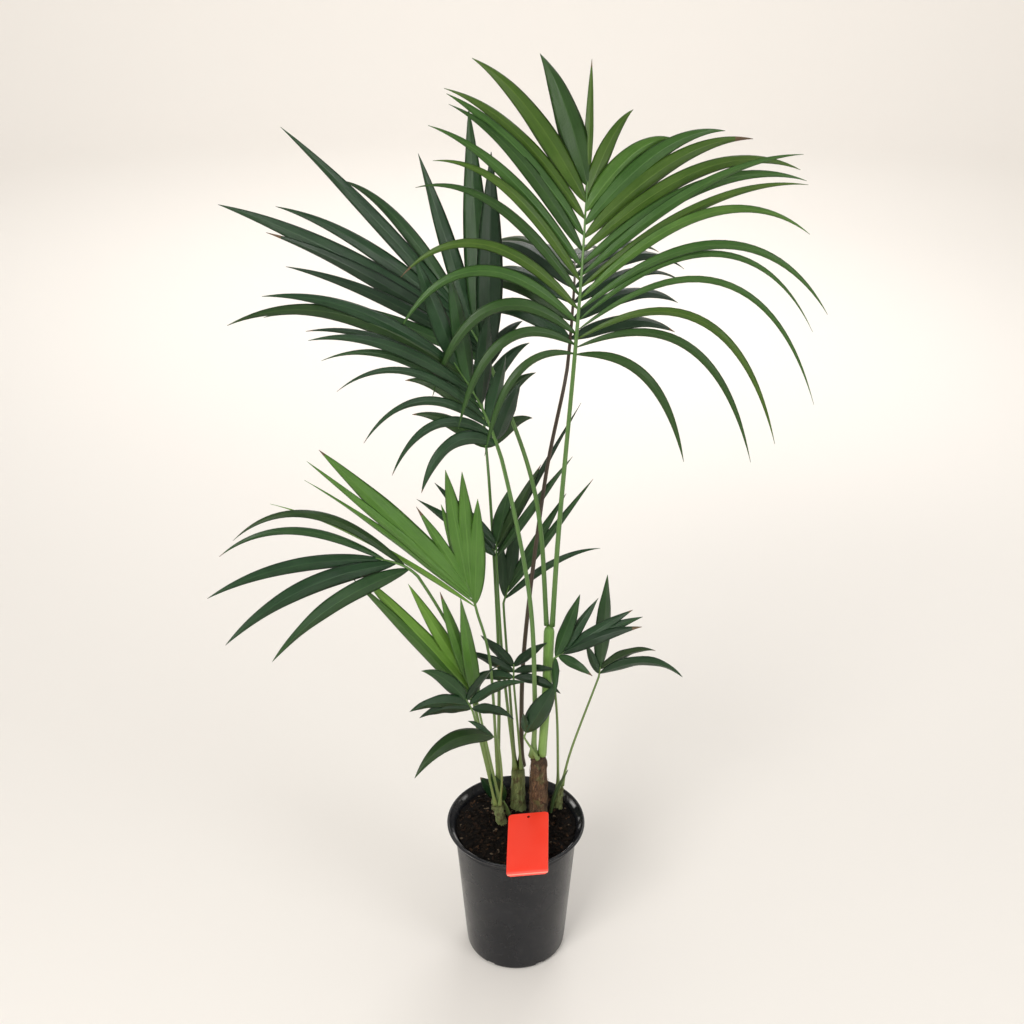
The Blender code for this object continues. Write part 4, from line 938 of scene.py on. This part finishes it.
def pot_material():
    """Charcoal moulded plastic, a little glossy, with dust, splashed soil, dull rubbed patches and a pale
    painted highlight round the lip.
    """
    made, tree = new_material("charcoal_pot_plastic", POT_SHEEN)
    rubbed = patches(tree, 14.0, 0.40, 0.68)
    dust = use_group(tree, DUST, Amount=0.10, Scale=85.0)["Mask"]
    scuffs = patches(tree, 240.0, 0.66, 0.76)
    grain = pebbles(tree, 1500.0, 0.4)
    look = blend(tree, rubbed, POT_CHARCOAL, POT_RUBBED, 0.6)
    look = blend(tree, scuffs, blend(tree, dust, look, POT_DUST), POT_SCUFF, 0.25)
    height = parts_of(tree, object_place(tree))["Z"]
    # A band of painted highlight round the lip's outer face, broken into patches: it stands for the glint of
    # the lip's edge
    above = spread(tree, height, PAINTED_GLINT_Z - PAINTED_GLINT_REACH, PAINTED_GLINT_Z)
    below = spread(tree, height, PAINTED_GLINT_Z, PAINTED_GLINT_Z + PAINTED_GLINT_REACH, 1.0, 0.0)
    worn = patches(tree, 21.0, 0.50, 0.60)
    painted_glint = calculate(tree, "MULTIPLY", calculate(tree, "MULTIPLY", above, below), worn)
    look = blend(tree, painted_glint, look, POT_PAINTED_GLINT)
    return dress(made, look, spread(tree, rubbed, 0.0, 1.0, 0.20, 0.36), grain, 0.00018)


def soil_material():
    """Damp dark peat, with a few paler crumbs."""
    made, tree = new_material("peat_soil", DULL)
    crumbs = patches(tree, 260.0, 0.48, 0.68)
    damp = patches(tree, 30.0, 0.40, 0.62)
    grain = pebbles(tree, 700.0, 0.6)
    look = blend(tree, damp, blend(tree, crumbs, SOIL_DARK, SOIL_PALE), SOIL_DAMP, 0.5)
    return dress(made, look, spread(tree, damp, 0.0, 1.0, 0.95, 0.75), grain, 0.0016)


def chip_material(name, dark, light, roughness):
    """One of the colours of bark, root, crumbs and fibres."""
    made, tree = new_material(name, DULL)
    grain = pebbles(tree, 520.0, 0.5)
    look = blend(tree, spread(tree, grain, 0.38, 0.62), dark, light)
    return dress(made, look, spread(tree, grain, 0.3, 0.7, roughness, 0.95), grain, 0.0006)


def tag_material():
    """Orange-red card plastic with a smooth print, faint handling marks and a fine surface."""
    made, tree = new_material("orange_red_tag")
    marks = patches(tree, 34.0, 0.40, 0.70)
    grain = pebbles(tree, 1800.0, 0.2)
    look = blend(tree, marks, TAG_RED, TAG_FADED, 0.25)
    return dress(made, look, spread(tree, marks, 0.0, 1.0, 0.40, 0.52), grain, 0.00008)


def tag_edge_material():
    """The paler cut edge of the tag."""
    made, tree = new_material("tag_cut_edge")
    grain = pebbles(tree, 900.0, 0.5)
    return dress(made, blend(tree, grain, TAG_EDGE, TAG_EDGE_PALE), 0.6, grain, 0.0001)


def floor_material():
    """The pale floor and backdrop."""
    made, tree = new_material("pale_floor")
    shader = tree.nodes["Principled BSDF"]
    shader.inputs["Base Color"].default_value = (*FLOOR_COLOUR, 1.0)
    shader.inputs["Roughness"].default_value = 0.9
    return made


def turned_rings(profile, sides):
    """Rings of a body turned about the Z axis from radii and heights."""
    return [[Vector((r * math.cos(a), r * math.sin(a), z)) for a in turns(sides)] for r, z in profile]


def arc_points(centre, radius, start, end, steps):
    """Radii and heights round part of a circle, for a turned lip or edge."""
    points = []
    for i in range(steps + 1):
        turn = math.radians(start + (end - start) * i / steps)
        points.append((centre[0] + radius * math.cos(turn), centre[1] + radius * math.sin(turn)))
    return points


def inner_radius(height):
    """The inside radius of the pot's wall at a height."""
    if height > SHOULDER_Z:
        rise = (height - SHOULDER_Z) / SHOULDER_DROP
        return BODY_RADIUS - WALL + (RIM_RADIUS - LIP_THICKNESS - BODY_RADIUS + WALL) * rise ** 2
    return BASE_RADIUS + (BODY_RADIUS - BASE_RADIUS) * height / SHOULDER_Z - WALL


def wall_points(heights, thickness):
    """Radii and heights up the pot's wall, at a thickness out from its inside."""
    return [(inner_radius(height) + thickness, height) for height in heights]


def build_pot(finish):
    """The moulded shell: rounded foot, straight body, flared shoulder and rolled lip, cut by its slots."""
    profile = [(FOOT_RADIUS, 0.0)]
    profile += arc_points((BASE_RADIUS - FOOT_RISE, FOOT_RISE), FOOT_RISE, *FOOT_ARC)
    profile += wall_points([SHOULDER_Z * share for share in BODY_SHARES], WALL)
    profile += [(BODY_RADIUS, SHOULDER_Z - CREASE), (BODY_RADIUS + CREASE, SHOULDER_Z)]
    profile += wall_points([SHOULDER_Z + SHOULDER_DROP * share for share in SHOULDER_SHARES], WALL)
    roll = LIP_THICKNESS / 2
    profile += arc_points((RIM_RADIUS - roll, POT_HEIGHT - roll * LIP_DEPTH), roll, *LIP_FACE_ARC)
    profile += arc_points((RIM_RADIUS - roll, POT_HEIGHT - roll), roll, *LIP_TOP_ARC)
    profile += wall_points([POT_HEIGHT - drop for drop in INNER_DROPS], 0.0)
    profile += wall_points([SHOULDER_Z, SHOULDER_Z / 2, HEEL], 0.0)
    profile.append((FOOT_RADIUS, FLOOR))
    pot = skin_piece("pot_shell", turned_rings(profile, POT_SIDES), finish, "pot")
    cut_slots(pot)
    pot.data.set_sharp_from_angle(angle=POT_SHARP)


def cut_slots(pot):
    """The drainage slots round the foot."""
    bm = bmesh.new()
    for around in turns(SLOT_COUNT):
        made = bmesh.ops.create_cube(bm, size=1.0)["verts"]
        bmesh.ops.scale(bm, vec=SLOT_SIZE, verts=made)
        bmesh.ops.translate(bm, vec=(FOOT_RADIUS + SLOT_SIZE[0] * SLOT_SEAT, 0.0, 0.0), verts=made)
        bmesh.ops.transform(bm, matrix=Matrix.Rotation(SLOT_START + around, 4, "Z"), verts=made)
    subtract(pot, bm)


def subtract(item, bm):
    """Cut a closed shape out of a piece, for good."""
    cutter = mesh_object("cutter", bm)
    cut = item.modifiers.new("cut", "BOOLEAN")
    cut.operation = "DIFFERENCE"
    cut.object = cutter
    bpy.context.view_layer.update()
    shaped = item.evaluated_get(bpy.context.evaluated_depsgraph_get())
    item.data = bpy.data.meshes.new_from_object(shaped)
    item.modifiers.clear()
    bpy.data.objects.remove(cutter, do_unlink=True)


def soil_height(x, y):
    """The uneven top of the soil, a little mounded to the middle."""
    far = math.hypot(x, y) / RIM_RADIUS
    lumps = noise.fractal(Vector((x * 38, y * 38, 2.0)), 0.8, 2.1, 5)
    crumbs = noise.noise(Vector((x * 240, y * 240, 7.0)))
    return SOIL_Z - SOIL_SETTLED - SOIL_MOUND * far ** 3 + SOIL_LUMPS * lumps + SOIL_CRUMBS * crumbs


def build_soil(finish):
    """The soil: it fills the pot, with lumps and crumbs modelled on top."""
    profile = [(FOOT_RADIUS - SOIL_CLEAR, FLOOR + GAP)]
    rings = turned_rings(profile + wall_points((HEEL, SHOULDER_Z), -SOIL_CLEAR), SOIL_SIDES)
    wall = inner_radius(SOIL_Z)
    for i in range(SOIL_RINGS):
        ring = []
        for turn in turns(SOIL_SIDES):
            edge = inner_radius(soil_height(wall * math.cos(turn), wall * math.sin(turn))) - 2 * GAP
            radius = edge * (1.0 - i / SOIL_RINGS)
            x, y = radius * math.cos(turn), radius * math.sin(turn)
            ring.append(Vector((x, y, soil_height(x, y))))
        rings.append(ring)
    rings.append([Vector((0.0, 0.0, soil_height(0.0, 0.0)))])
    skin_piece("potting_soil", rings, finish, "soil")


def build_chips(finishes, chance):
    """Bark, root and peat crumbs scattered over the soil, half sunk in it."""
    bm = bmesh.new()
    for k in range(CHIP_COUNT):
        far = (inner_radius(SOIL_Z) - CHIP_MARGIN) * math.sqrt((k + 0.5) / CHIP_COUNT)
        turn = k * GOLDEN_TURN + chance.uniform(-CHIP_PLAY, CHIP_PLAY)
        x, y = far * math.cos(turn), far * math.sin(turn)
        kind = chance.choices(range(len(finishes)), weights=CHIP_WEIGHTS)[0]
        size = chance.uniform(*(BARK_SIZES if kind else CRUMB_SIZES))
        stretch = Vector([chance.uniform(*ends) for ends in CHIP_STRETCH])
        made = bmesh.ops.create_icosphere(bm, subdivisions=1, radius=1.0)["verts"]
        for vert in made:
            vert.co *= 1.0 + CHIP_DENTS * noise.noise(vert.co * 1.7 + Vector((k * 3.1, 0.0, 0.0)))
            vert.co *= size
            vert.co = Vector(a * b for a, b in zip(vert.co, stretch))
        spun = Matrix.Rotation(chance.uniform(0, CHIP_SPIN), 4, "Z")
        spun = spun @ Matrix.Rotation(chance.uniform(-CHIP_TILT, CHIP_TILT), 4, "Y")
        place = Matrix.Translation((x, y, soil_height(x, y) + size * CHIP_RISE))
        bmesh.ops.transform(bm, matrix=place @ spun, verts=made)
        for face in {face for vert in made for face in vert.link_faces}:
            face.material_index = kind
    piece("bark_and_crumbs", bm, finishes, smooth=False)


def build_tag(face_finish, edge_finish):
    """The plain care tag: a thin strip with round corners and a round hole, bent over the rim."""
    head = Vector((0.0, TAG_HEAD_Y, POT_HEIGHT + TAG_HEAD_RISE))
    bend = Vector((0.0, -RIM_RADIUS - TAG_PAST_RIM, POT_HEIGHT + TAG_LIFT))
    tail = bend + TAG_HANG * (TAG_LENGTH - (bend - head).length)
    path = smooth_path((head, bend, tail), TAG_STEPS + 1)
    long = sum((b - a).length for a, b in zip(path, path[1:]))
    bm = bmesh.new()
    rings = []
    for i, point in enumerate(path):
        up = Vector((1.0, 0.0, 0.0)).cross(heading_at(path, i)) * -TAG_THICKNESS / 2
        run = long * i / TAG_STEPS
        inset = max(TAG_CORNER - min(run, long - run), 0.0)
        half = TAG_WIDTH / 2 - TAG_CORNER + math.sqrt(max(TAG_CORNER ** 2 - inset ** 2, 1e-8))
        lows = [point + Vector((half * s, 0.0, 0.0)) - up for s in TAG_ACROSS]
        highs = [point + Vector((half * s, 0.0, 0.0)) + up for s in reversed(TAG_ACROSS)]
        rings.append(lows + highs)
    loft(bm, rings)
    hinge = Vector((-TAG_WIDTH / 2, 0.0, POT_HEIGHT))
    place = (Matrix.Translation((TAG_X, 0.0, 0.0)) @ Matrix.Rotation(TAG_TURN, 4, "Z")
             @ Matrix.Translation(hinge) @ Matrix.Rotation(TAG_ROLL, 4, "Y") @ Matrix.Translation(-hinge))
    bmesh.ops.recalc_face_normals(bm, faces=bm.faces)
    for face in bm.faces:
        face.material_index = 0 if abs(face.normal.z) > TAG_FACE_FROM else 1
    bmesh.ops.transform(bm, matrix=place, verts=bm.verts)
    tag = piece("care_tag_card", bm, [face_finish, edge_finish], ["care_tag"])
    hole = bmesh.new()
    bmesh.ops.create_cone(hole, cap_ends=True, segments=TAG_HOLE_SIDES, radius1=TAG_HOLE,
                          radius2=TAG_HOLE, depth=TAG_HOLE_DEPTH)
    centre = place @ path[0].lerp(path[-1], TAG_HOLE_INSET / TAG_LENGTH)
    bmesh.ops.translate(hole, vec=centre, verts=hole.verts)
    subtract(tag, hole)
    tag.data.set_sharp_from_angle(angle=TAG_SHARP)


def add_leaflet(bm, grains, leaf, shade, chance):
    """One fine leaflet: a folded upper skin and an underside that meet in a thin edge."""
    steps = SHORT_LEAF_STEPS if leaf["length"] < SHORT_LEAF else LEAF_STEPS
    roll = chance.uniform(-LEAF_ROLL, LEAF_ROLL)
    phase = chance.uniform(0, ROUND_TURN)
    number = chance.random()
    dry_from = chance.uniform(*DRY_TIP_SHARE) if chance.random() < DRY_TIP_CHANCE else NOT_DRY
    before = None
    for i, (point, heading, across) in enumerate(leaf_points(leaf, steps)):
        share = i / steps
        turned = across.copy()
        turned.rotate(Matrix.Rotation(roll * share ** 2, 3, heading))
        upper = turned.cross(heading)
        inside = min(max(share, LEAF_ENDS[0]), LEAF_ENDS[1])
        half = max(leaf_shape(inside, leaf["width"]) / 2, LEAST_HALF_WIDTH)
        wave = EDGE_WAVE * math.sin(phase + share * EDGE_WAVES) * min(half / FULL_WAVE_HALF, 1.0)
        midrib = MIDRIB_RISE * (1.0 - MIDRIB_FADE * share)
        tops = []
        unders = []
        for t in LEAF_ACROSS:
            fold = LEAF_FOLD * 2 * half * (0.5 - abs(t) ** FOLD_POWER)
            rise = midrib * max(0.0, 1.0 - abs(t) / MIDRIB_WIDTH)
            skin = LEAF_EDGE_SKIN + (LEAF_SKIN - LEAF_EDGE_SKIN) * (1.0 - abs(t))
            middle = point + turned * half * t + upper * (fold + wave * t)
            grain = (half * t, leaf["length"] * share, number)
            tops.append(bm.verts.new(middle + upper * (skin / 2 + rise)))
            grains.append(grain)
            if abs(t) < 1.0:
                unders.append(bm.verts.new(middle - upper * (skin / 2 + rise * UNDER_RISE)))
                grains.append(grain)
        skins = (tops, [tops[0]] + unders + [tops[-1]])
        if before:
            dry = share > dry_from
            add_strip(bm, before[0], tops, DRY if dry else shade)
            add_strip(bm, skins[1], before[1], DRY if dry else UNDER)
        else:
            close_leaflet(bm, skins, shade, True)
        before = skins
    close_leaflet(bm, before, DRY if dry_from < 1.0 else shade, False)


def add_strip(bm, old, new, finish):
    """The faces between two rows of points across a leaflet."""
    for j in range(len(old) - 1):
        face = bm.faces.new((old[j], new[j], new[j + 1], old[j + 1]))
        face.material_index = finish


def close_leaflet(bm, skins, finish, first):
    """Close one end of a leaflet between its two skins."""
    loop = skins[0] + skins[1][-2:0:-1]
    face = bm.faces.new(loop if first else loop[::-1])
    face.material_index = finish


def build_leaflets(name, frond, leaves, chance):
    """All the leaflets of one frond, in the shades of its family: partly their own varied greens, partly
    painted sunlight and shade.
    """
    bm = bmesh.new()
    grains = []
    for leaf in leaves:
        shade = chance.choices(range(UNDER), weights=SHADE_WEIGHTS)[0]
        add_leaflet(bm, grains, leaf, shade, chance)
    finishes = LEAF_FINISHES[frond["colour"]]
    made = piece(name + "_leaflets", bm, finishes, ["frond_" + name])
    write_grain(made.data, grains)


def limb_ring(point, heading, face, radius, groove):
    """One ring of a stalk or rib: round, lightly ribbed, with a shallow groove on its upper side."""
    across = heading.cross(face).normalized()
    upper = across.cross(heading)
    ring = []
    for turn in turns(LIMB_SIDES):
        off = min(abs(turn - math.pi / 2), 2 * math.pi - abs(turn - math.pi / 2))
        dent = groove * math.exp(-(off / GROOVE_WIDTH) ** 2)
        swell = 1.0 - dent + STALK_RIBBING * math.cos(STALK_RIBS * turn)
        ring.append(point + radius * swell * (math.cos(turn) * across + math.sin(turn) * upper))
    return ring


def build_limb(name, node, path, radii, face, groove, finish, number):
    """A stalk, stem or rolled leaf as one closed skin; its grain runs along it."""
    rings = []
    grains = []
    run = 0.0
    for i, point in enumerate(path):
        if i:
            run += (point - path[i - 1]).length
        rings.append(limb_ring(point, heading_at(path, i), face, radii[i], groove[i]))
        for turn in turns(LIMB_SIDES):
            grains.append((turn * radii[i] + STALK_GRAIN_SHIFT, run, number))
    skin_piece(name, rings, finish, node, grains)


def build_stalk_and_rib(name, frond, start, finish, chance):
    """A frond's stalk and rib as one limb: clasping at its foot, grooved, and thin at its end."""
    stalk = smooth_path((start, *frond["via"], frond["throat"]), STALK_STEPS, after=frond["rib"][0])
    rib = smooth_path((frond["throat"], *frond["rib"]), RIB_STEPS, before=rib_lead(frond))
    path = stalk + rib[1:]
    foot, throat, end = frond["radii"]
    swell = SHARED_CLASP if frond["stem"] == "stalk_shared" else BASE_CLASP
    radii = []
    groove = []
    for i, point in enumerate(path):
        share = i / (STALK_STEPS - 1)
        if share <= 1.0:
            clasp = 1.0 + swell * math.exp(-((point - start).length / CLASP_RUN) ** CLASP_POWER)
            radii.append((foot + (throat - foot) * share) * clasp)
            groove.append(STALK_GROOVE)
        else:
            along = (i - STALK_STEPS + 1) / (RIB_STEPS - 1)
            radii.append(throat + (end - throat) * along)
            groove.append(STALK_GROOVE * (1.0 - along))
    build_limb(name + "_stalk_and_rib", "stalk_" + name, path, radii, Vector(frond["face"]), groove, finish,
               chance.random())


def build_shared_stalk(path, finish, chance):
    """The bright upper stem that carries the two tallest fronds."""
    radii = []
    for i in range(STALK_STEPS):
        share = i / (STALK_STEPS - 1)
        swell = 1.0 + SHARED_SWELL * math.exp(-(share / SHARED_SWELL_RUN) ** CLASP_POWER)
        past = max((share - SHARED_ROUND_FROM) / SHARED_ROUND_RUN, 0.0)
        radii.append(profile_at(SHARED_RADII, share) * swell * math.sqrt(max(1.0 - past ** 2, 0.05)))
    build_limb("shared_upper_stem", "stalk_shared", smooth_path(path, STALK_STEPS), radii, SHARED_FACE,
               [0.0] * STALK_STEPS, finish, chance.random())


def build_spear(finish, chance):
    """The rolled young leaf: a smooth dark spear, thickest in its lower half."""
    path = smooth_path(((*SPEAR_FOOT, SOIL_Z - STEM_SUNK), *SPEAR_WAY), STALK_STEPS)
    radii = [profile_at(SPEAR_RADII, i / (STALK_STEPS - 1)) for i in range(STALK_STEPS)]
    build_limb("rolled_spear", "stalk_spear", path, radii, SPEAR_FACE, [SPEAR_SEAM] * STALK_STEPS, finish,
               chance.random())


def foot_flare(share):
    """How much wider a stem is towards its foot."""
    return 1.0 + STEM_FLARE * math.exp(-share / STEM_FLARE_RUN)


def sheath_radius(share, turn, radius, number):
    """The radius of a sheathed stem: sheaths that wrap it, each with a slanting upper edge."""
    level = share * SHEATHS + SHEATH_SLANT * math.cos(turn - number * ROUND_TURN)
    step = 1.0 - (level - math.floor(level))
    shift = number * 10
    lumps = noise.noise(Vector((math.cos(turn) * 9, math.sin(turn) * 9, share * 2 + shift)))
    ridges = noise.noise(Vector((math.cos(turn) * 30, math.sin(turn) * 30, share * 5 + shift)))
    return radius + SHEATH_STEP * (step - 0.6) + SHEATH_LUMPS * lumps + SHEATH_RIDGES * ridges


def build_stem(name, stem, finish, chance):
    """A short stem wrapped in old leaf sheaths, rounded in at its top round the stalks."""
    foot = Vector((*stem["foot"], SOIL_Z - STEM_SUNK))
    top = Vector(stem["top"])
    low, high = stem["radii"]
    number = chance.random()
    rings = []
    grains = []
    for i in range(STEM_STEPS):
        share = i / (STEM_STEPS - 1)
        point = foot.lerp(top, share)
        radius = (low + (high - low) * share) * foot_flare(share)
        past = max((share - STEM_ROUND_FROM) / STEM_ROUND_RUN, 0.0)
        rounding = math.sqrt(max(1.0 - past ** 2, 0.0))
        ring = []
        for turn in turns(STEM_SIDES):
            r = sheath_radius(share, turn, radius, number) * rounding
            ring.append(point + r * spoke(turn))
            grains.append((r * turn + STEM_GRAIN_SHIFT, (top - foot).length * share, number))
        rings.append(ring)
    skin_piece(name + "_sheath", rings, finish, name, grains)


def build_fibres(finish, chance):
    """Loose brown fibres that cross on the sheathed stems, like coarse netting."""
    bm = bmesh.new()
    for name, stem in STEMS.items():
        foot = Vector((*stem["foot"], SOIL_Z))
        top = Vector(stem["top"])
        for k in range(FIBRES_ON[KINDS.get(name, "green")]):
            start = chance.uniform(*FIBRE_STARTS)
            turn = chance.uniform(0, 2 * math.pi)
            slant = chance.choice((-1, 1)) * chance.uniform(*FIBRE_SLANTS)
            length = chance.uniform(*FIBRE_LENGTHS)
            lift = chance.uniform(*FIBRE_LIFTS)
            path = []
            for j in range(FIBRE_POINTS):
                along = j / (FIBRE_POINTS - 1)
                share = start + length * along
                radius = profile_at(stem["radii"], share) + FIBRE_CLEAR + lift * math.sin(math.pi * along)
                centre = foot.lerp(top, min(share, FIBRE_TOP))
                path.append(centre + radius * foot_flare(share) * spoke(turn + slant * along))
            add_fibre(bm, path)
    bmesh.ops.recalc_face_normals(bm, faces=bm.faces)
    piece("sheath_fibres", bm, [finish])


def add_fibre(bm, path):
    """One thin strand with three sides, pointed at both ends."""
    rings = [[path[0]]]
    for i in range(1, len(path) - 1):
        heading = heading_at(path, i)
        across = heading.cross(FIBRE_SIDE).normalized()
        up = heading.cross(across)
        rings.append([path[i] + FIBRE_RADIUS * (math.cos(turn) * across + math.sin(turn) * up)
                      for turn in turns(3)])
    rings.append([path[-1]])
    loft(bm, rings)


def build_plant():
    """Stems, stalks and fronds, in the order in which their solids made room for each other."""
    chance = random.Random(SEED)
    looks = random.Random(SEED + 1)
    sheaths = {kind: sheath_material(kind + "_sheath", *look) for kind, look in SHEATH_LOOKS.items()}
    tops = {}
    for name, stem in STEMS.items():
        build_stem(name, stem, sheaths[KINDS.get(name, "green")], looks)
        tops[name] = Vector(stem["top"])
    build_fibres(chip_material("dry_fibre", *FIBRE_LOOK), looks)
    shared = (tops["stem_main"] + Vector((*SHARED_STAND, GAP)), *SHARED_WAY)
    build_shared_stalk(shared, STALK_FINISHES["bright"], looks)
    tops["stalk_shared"] = smooth_path(shared, RIB_RINGS)[-1]
    build_spear(STALK_FINISHES["dark"], looks)
    for name, frond in FRONDS.items():
        start = tops[frond["stem"]] + Vector((*frond["stand"], GAP))
        build_stalk_and_rib(name, frond, start, STALK_FINISHES[KINDS.get(name, "green")], looks)
    names = ["pot", "soil", "care_tag", *STEMS, "stalk_shared", "stalk_spear"]
    names += ["stalk_" + name for name in FRONDS]
    obstacles = [node_tree(name) for name in names]
    for name, frond in FRONDS.items():
        path = rib_path(frond)
        frames = rib_frames(path, frond["face"])
        leaves = []
        for side, key in ((-1, "left"), (1, "right")):
            for leaf in side_leaves(side, frond[key], path, frames, chance):
                moved = find_room(leaf, obstacles)
                if moved:
                    leaves.append(moved)
        build_leaflets(name, frond, leaves, looks)
        obstacles.append(node_tree("frond_" + name))


def build_stage():
    """A wide pale floor that curves up into a backdrop on all sides, open above."""
    profile = [(FLOOR_MIDDLE, FLOOR_Z)]
    profile += [(BOWL_RADIUS * share, FLOOR_Z) for share in FLOOR_SHARES]
    profile += arc_points((BOWL_RADIUS, FLOOR_Z + BOWL_CURVE), BOWL_CURVE, -90, 0, BOWL_STEPS)
    profile.append((BOWL_RADIUS + BOWL_CURVE, BOWL_HEIGHT))
    bm = bmesh.new()
    loft(bm, turned_rings(profile, FLOOR_SIDES), open_end=True)
    bmesh.ops.reverse_faces(bm, faces=bm.faces)
    floor = mesh_object("studio_floor", bm)
    floor.data.shade_smooth()
    floor.data.materials.append(floor_material())


def add_area_light(name, place, aim, size, power, colour):
    """A square soft light that faces a point."""
    data = bpy.data.lights.new(name, "AREA")
    data.shape = "SQUARE"
    data.size = size
    data.energy = power
    data.color = colour
    light = add_object(name, data)
    light.location = place
    light.rotation_euler = (Vector(aim) - Vector(place)).to_track_quat("-Z", "Y").to_euler()


def build_lights():
    """Plain soft studio light: a large key, a broad fill, a back light, the backdrop's and a pale sky."""
    for light in LIGHTS:
        add_area_light(*light)
    world = bpy.data.worlds.new("pale_sky")
    world.use_nodes = True
    sky = world.node_tree.nodes["Background"]
    sky.inputs["Color"].default_value = (*SKY_COLOUR, 1.0)
    sky.inputs["Strength"].default_value = SKY_STRENGTH
    bpy.context.scene.world = world


def build_camera():
    """The camera at the photograph's angle, with a longer lens so that the plant fills the frame."""
    data = bpy.data.cameras.new("view")
    data.sensor_width = 36.0
    data.lens = PHOTO_LENS * CLOSE_UP
    camera = add_object("view", data)
    camera.location = CAMERA_PLACE
    camera.rotation_euler = (math.pi / 2 - CAMERA_DOWN, 0.0, 0.0)
    bpy.context.scene.camera = camera
    bpy.context.scene.view_settings.view_transform = "Standard"


# Leaf materials in every tone for each family; the paler and darker copies are partly painted sunlight and
# shade
LEAF_FINISHES = {}
for family, (colour, pale) in LEAF_COLOURS.items():
    shades = [leaf_material(f"{family}_leaf_{k}", tint(colour, tone), tint(pale, tone), *UPPER_SURFACE)
              for k, tone in enumerate(TONES_WITH_PAINTED_LIGHT)]
    below = UNDERSIDES[family]
    under = leaf_material(family + "_leaf_underside", below, tint(below, UNDER_PALE), *UNDER_SURFACE)
    LEAF_FINISHES[family] = shades + [under, dry_tip_material()]
STALK_FINISHES = {name: stalk_material(name + "_stalk", *colours) for name, colours in STALK_COLOURS.items()}

build_camera()
build_stage()
build_lights()
build_pot(pot_material())
build_soil(soil_material())
build_chips([chip_material(name, *look) for name, look in CHIP_LOOKS.items()], random.Random(SEED + 2))
build_tag(tag_material(), tag_edge_material())
build_plant()
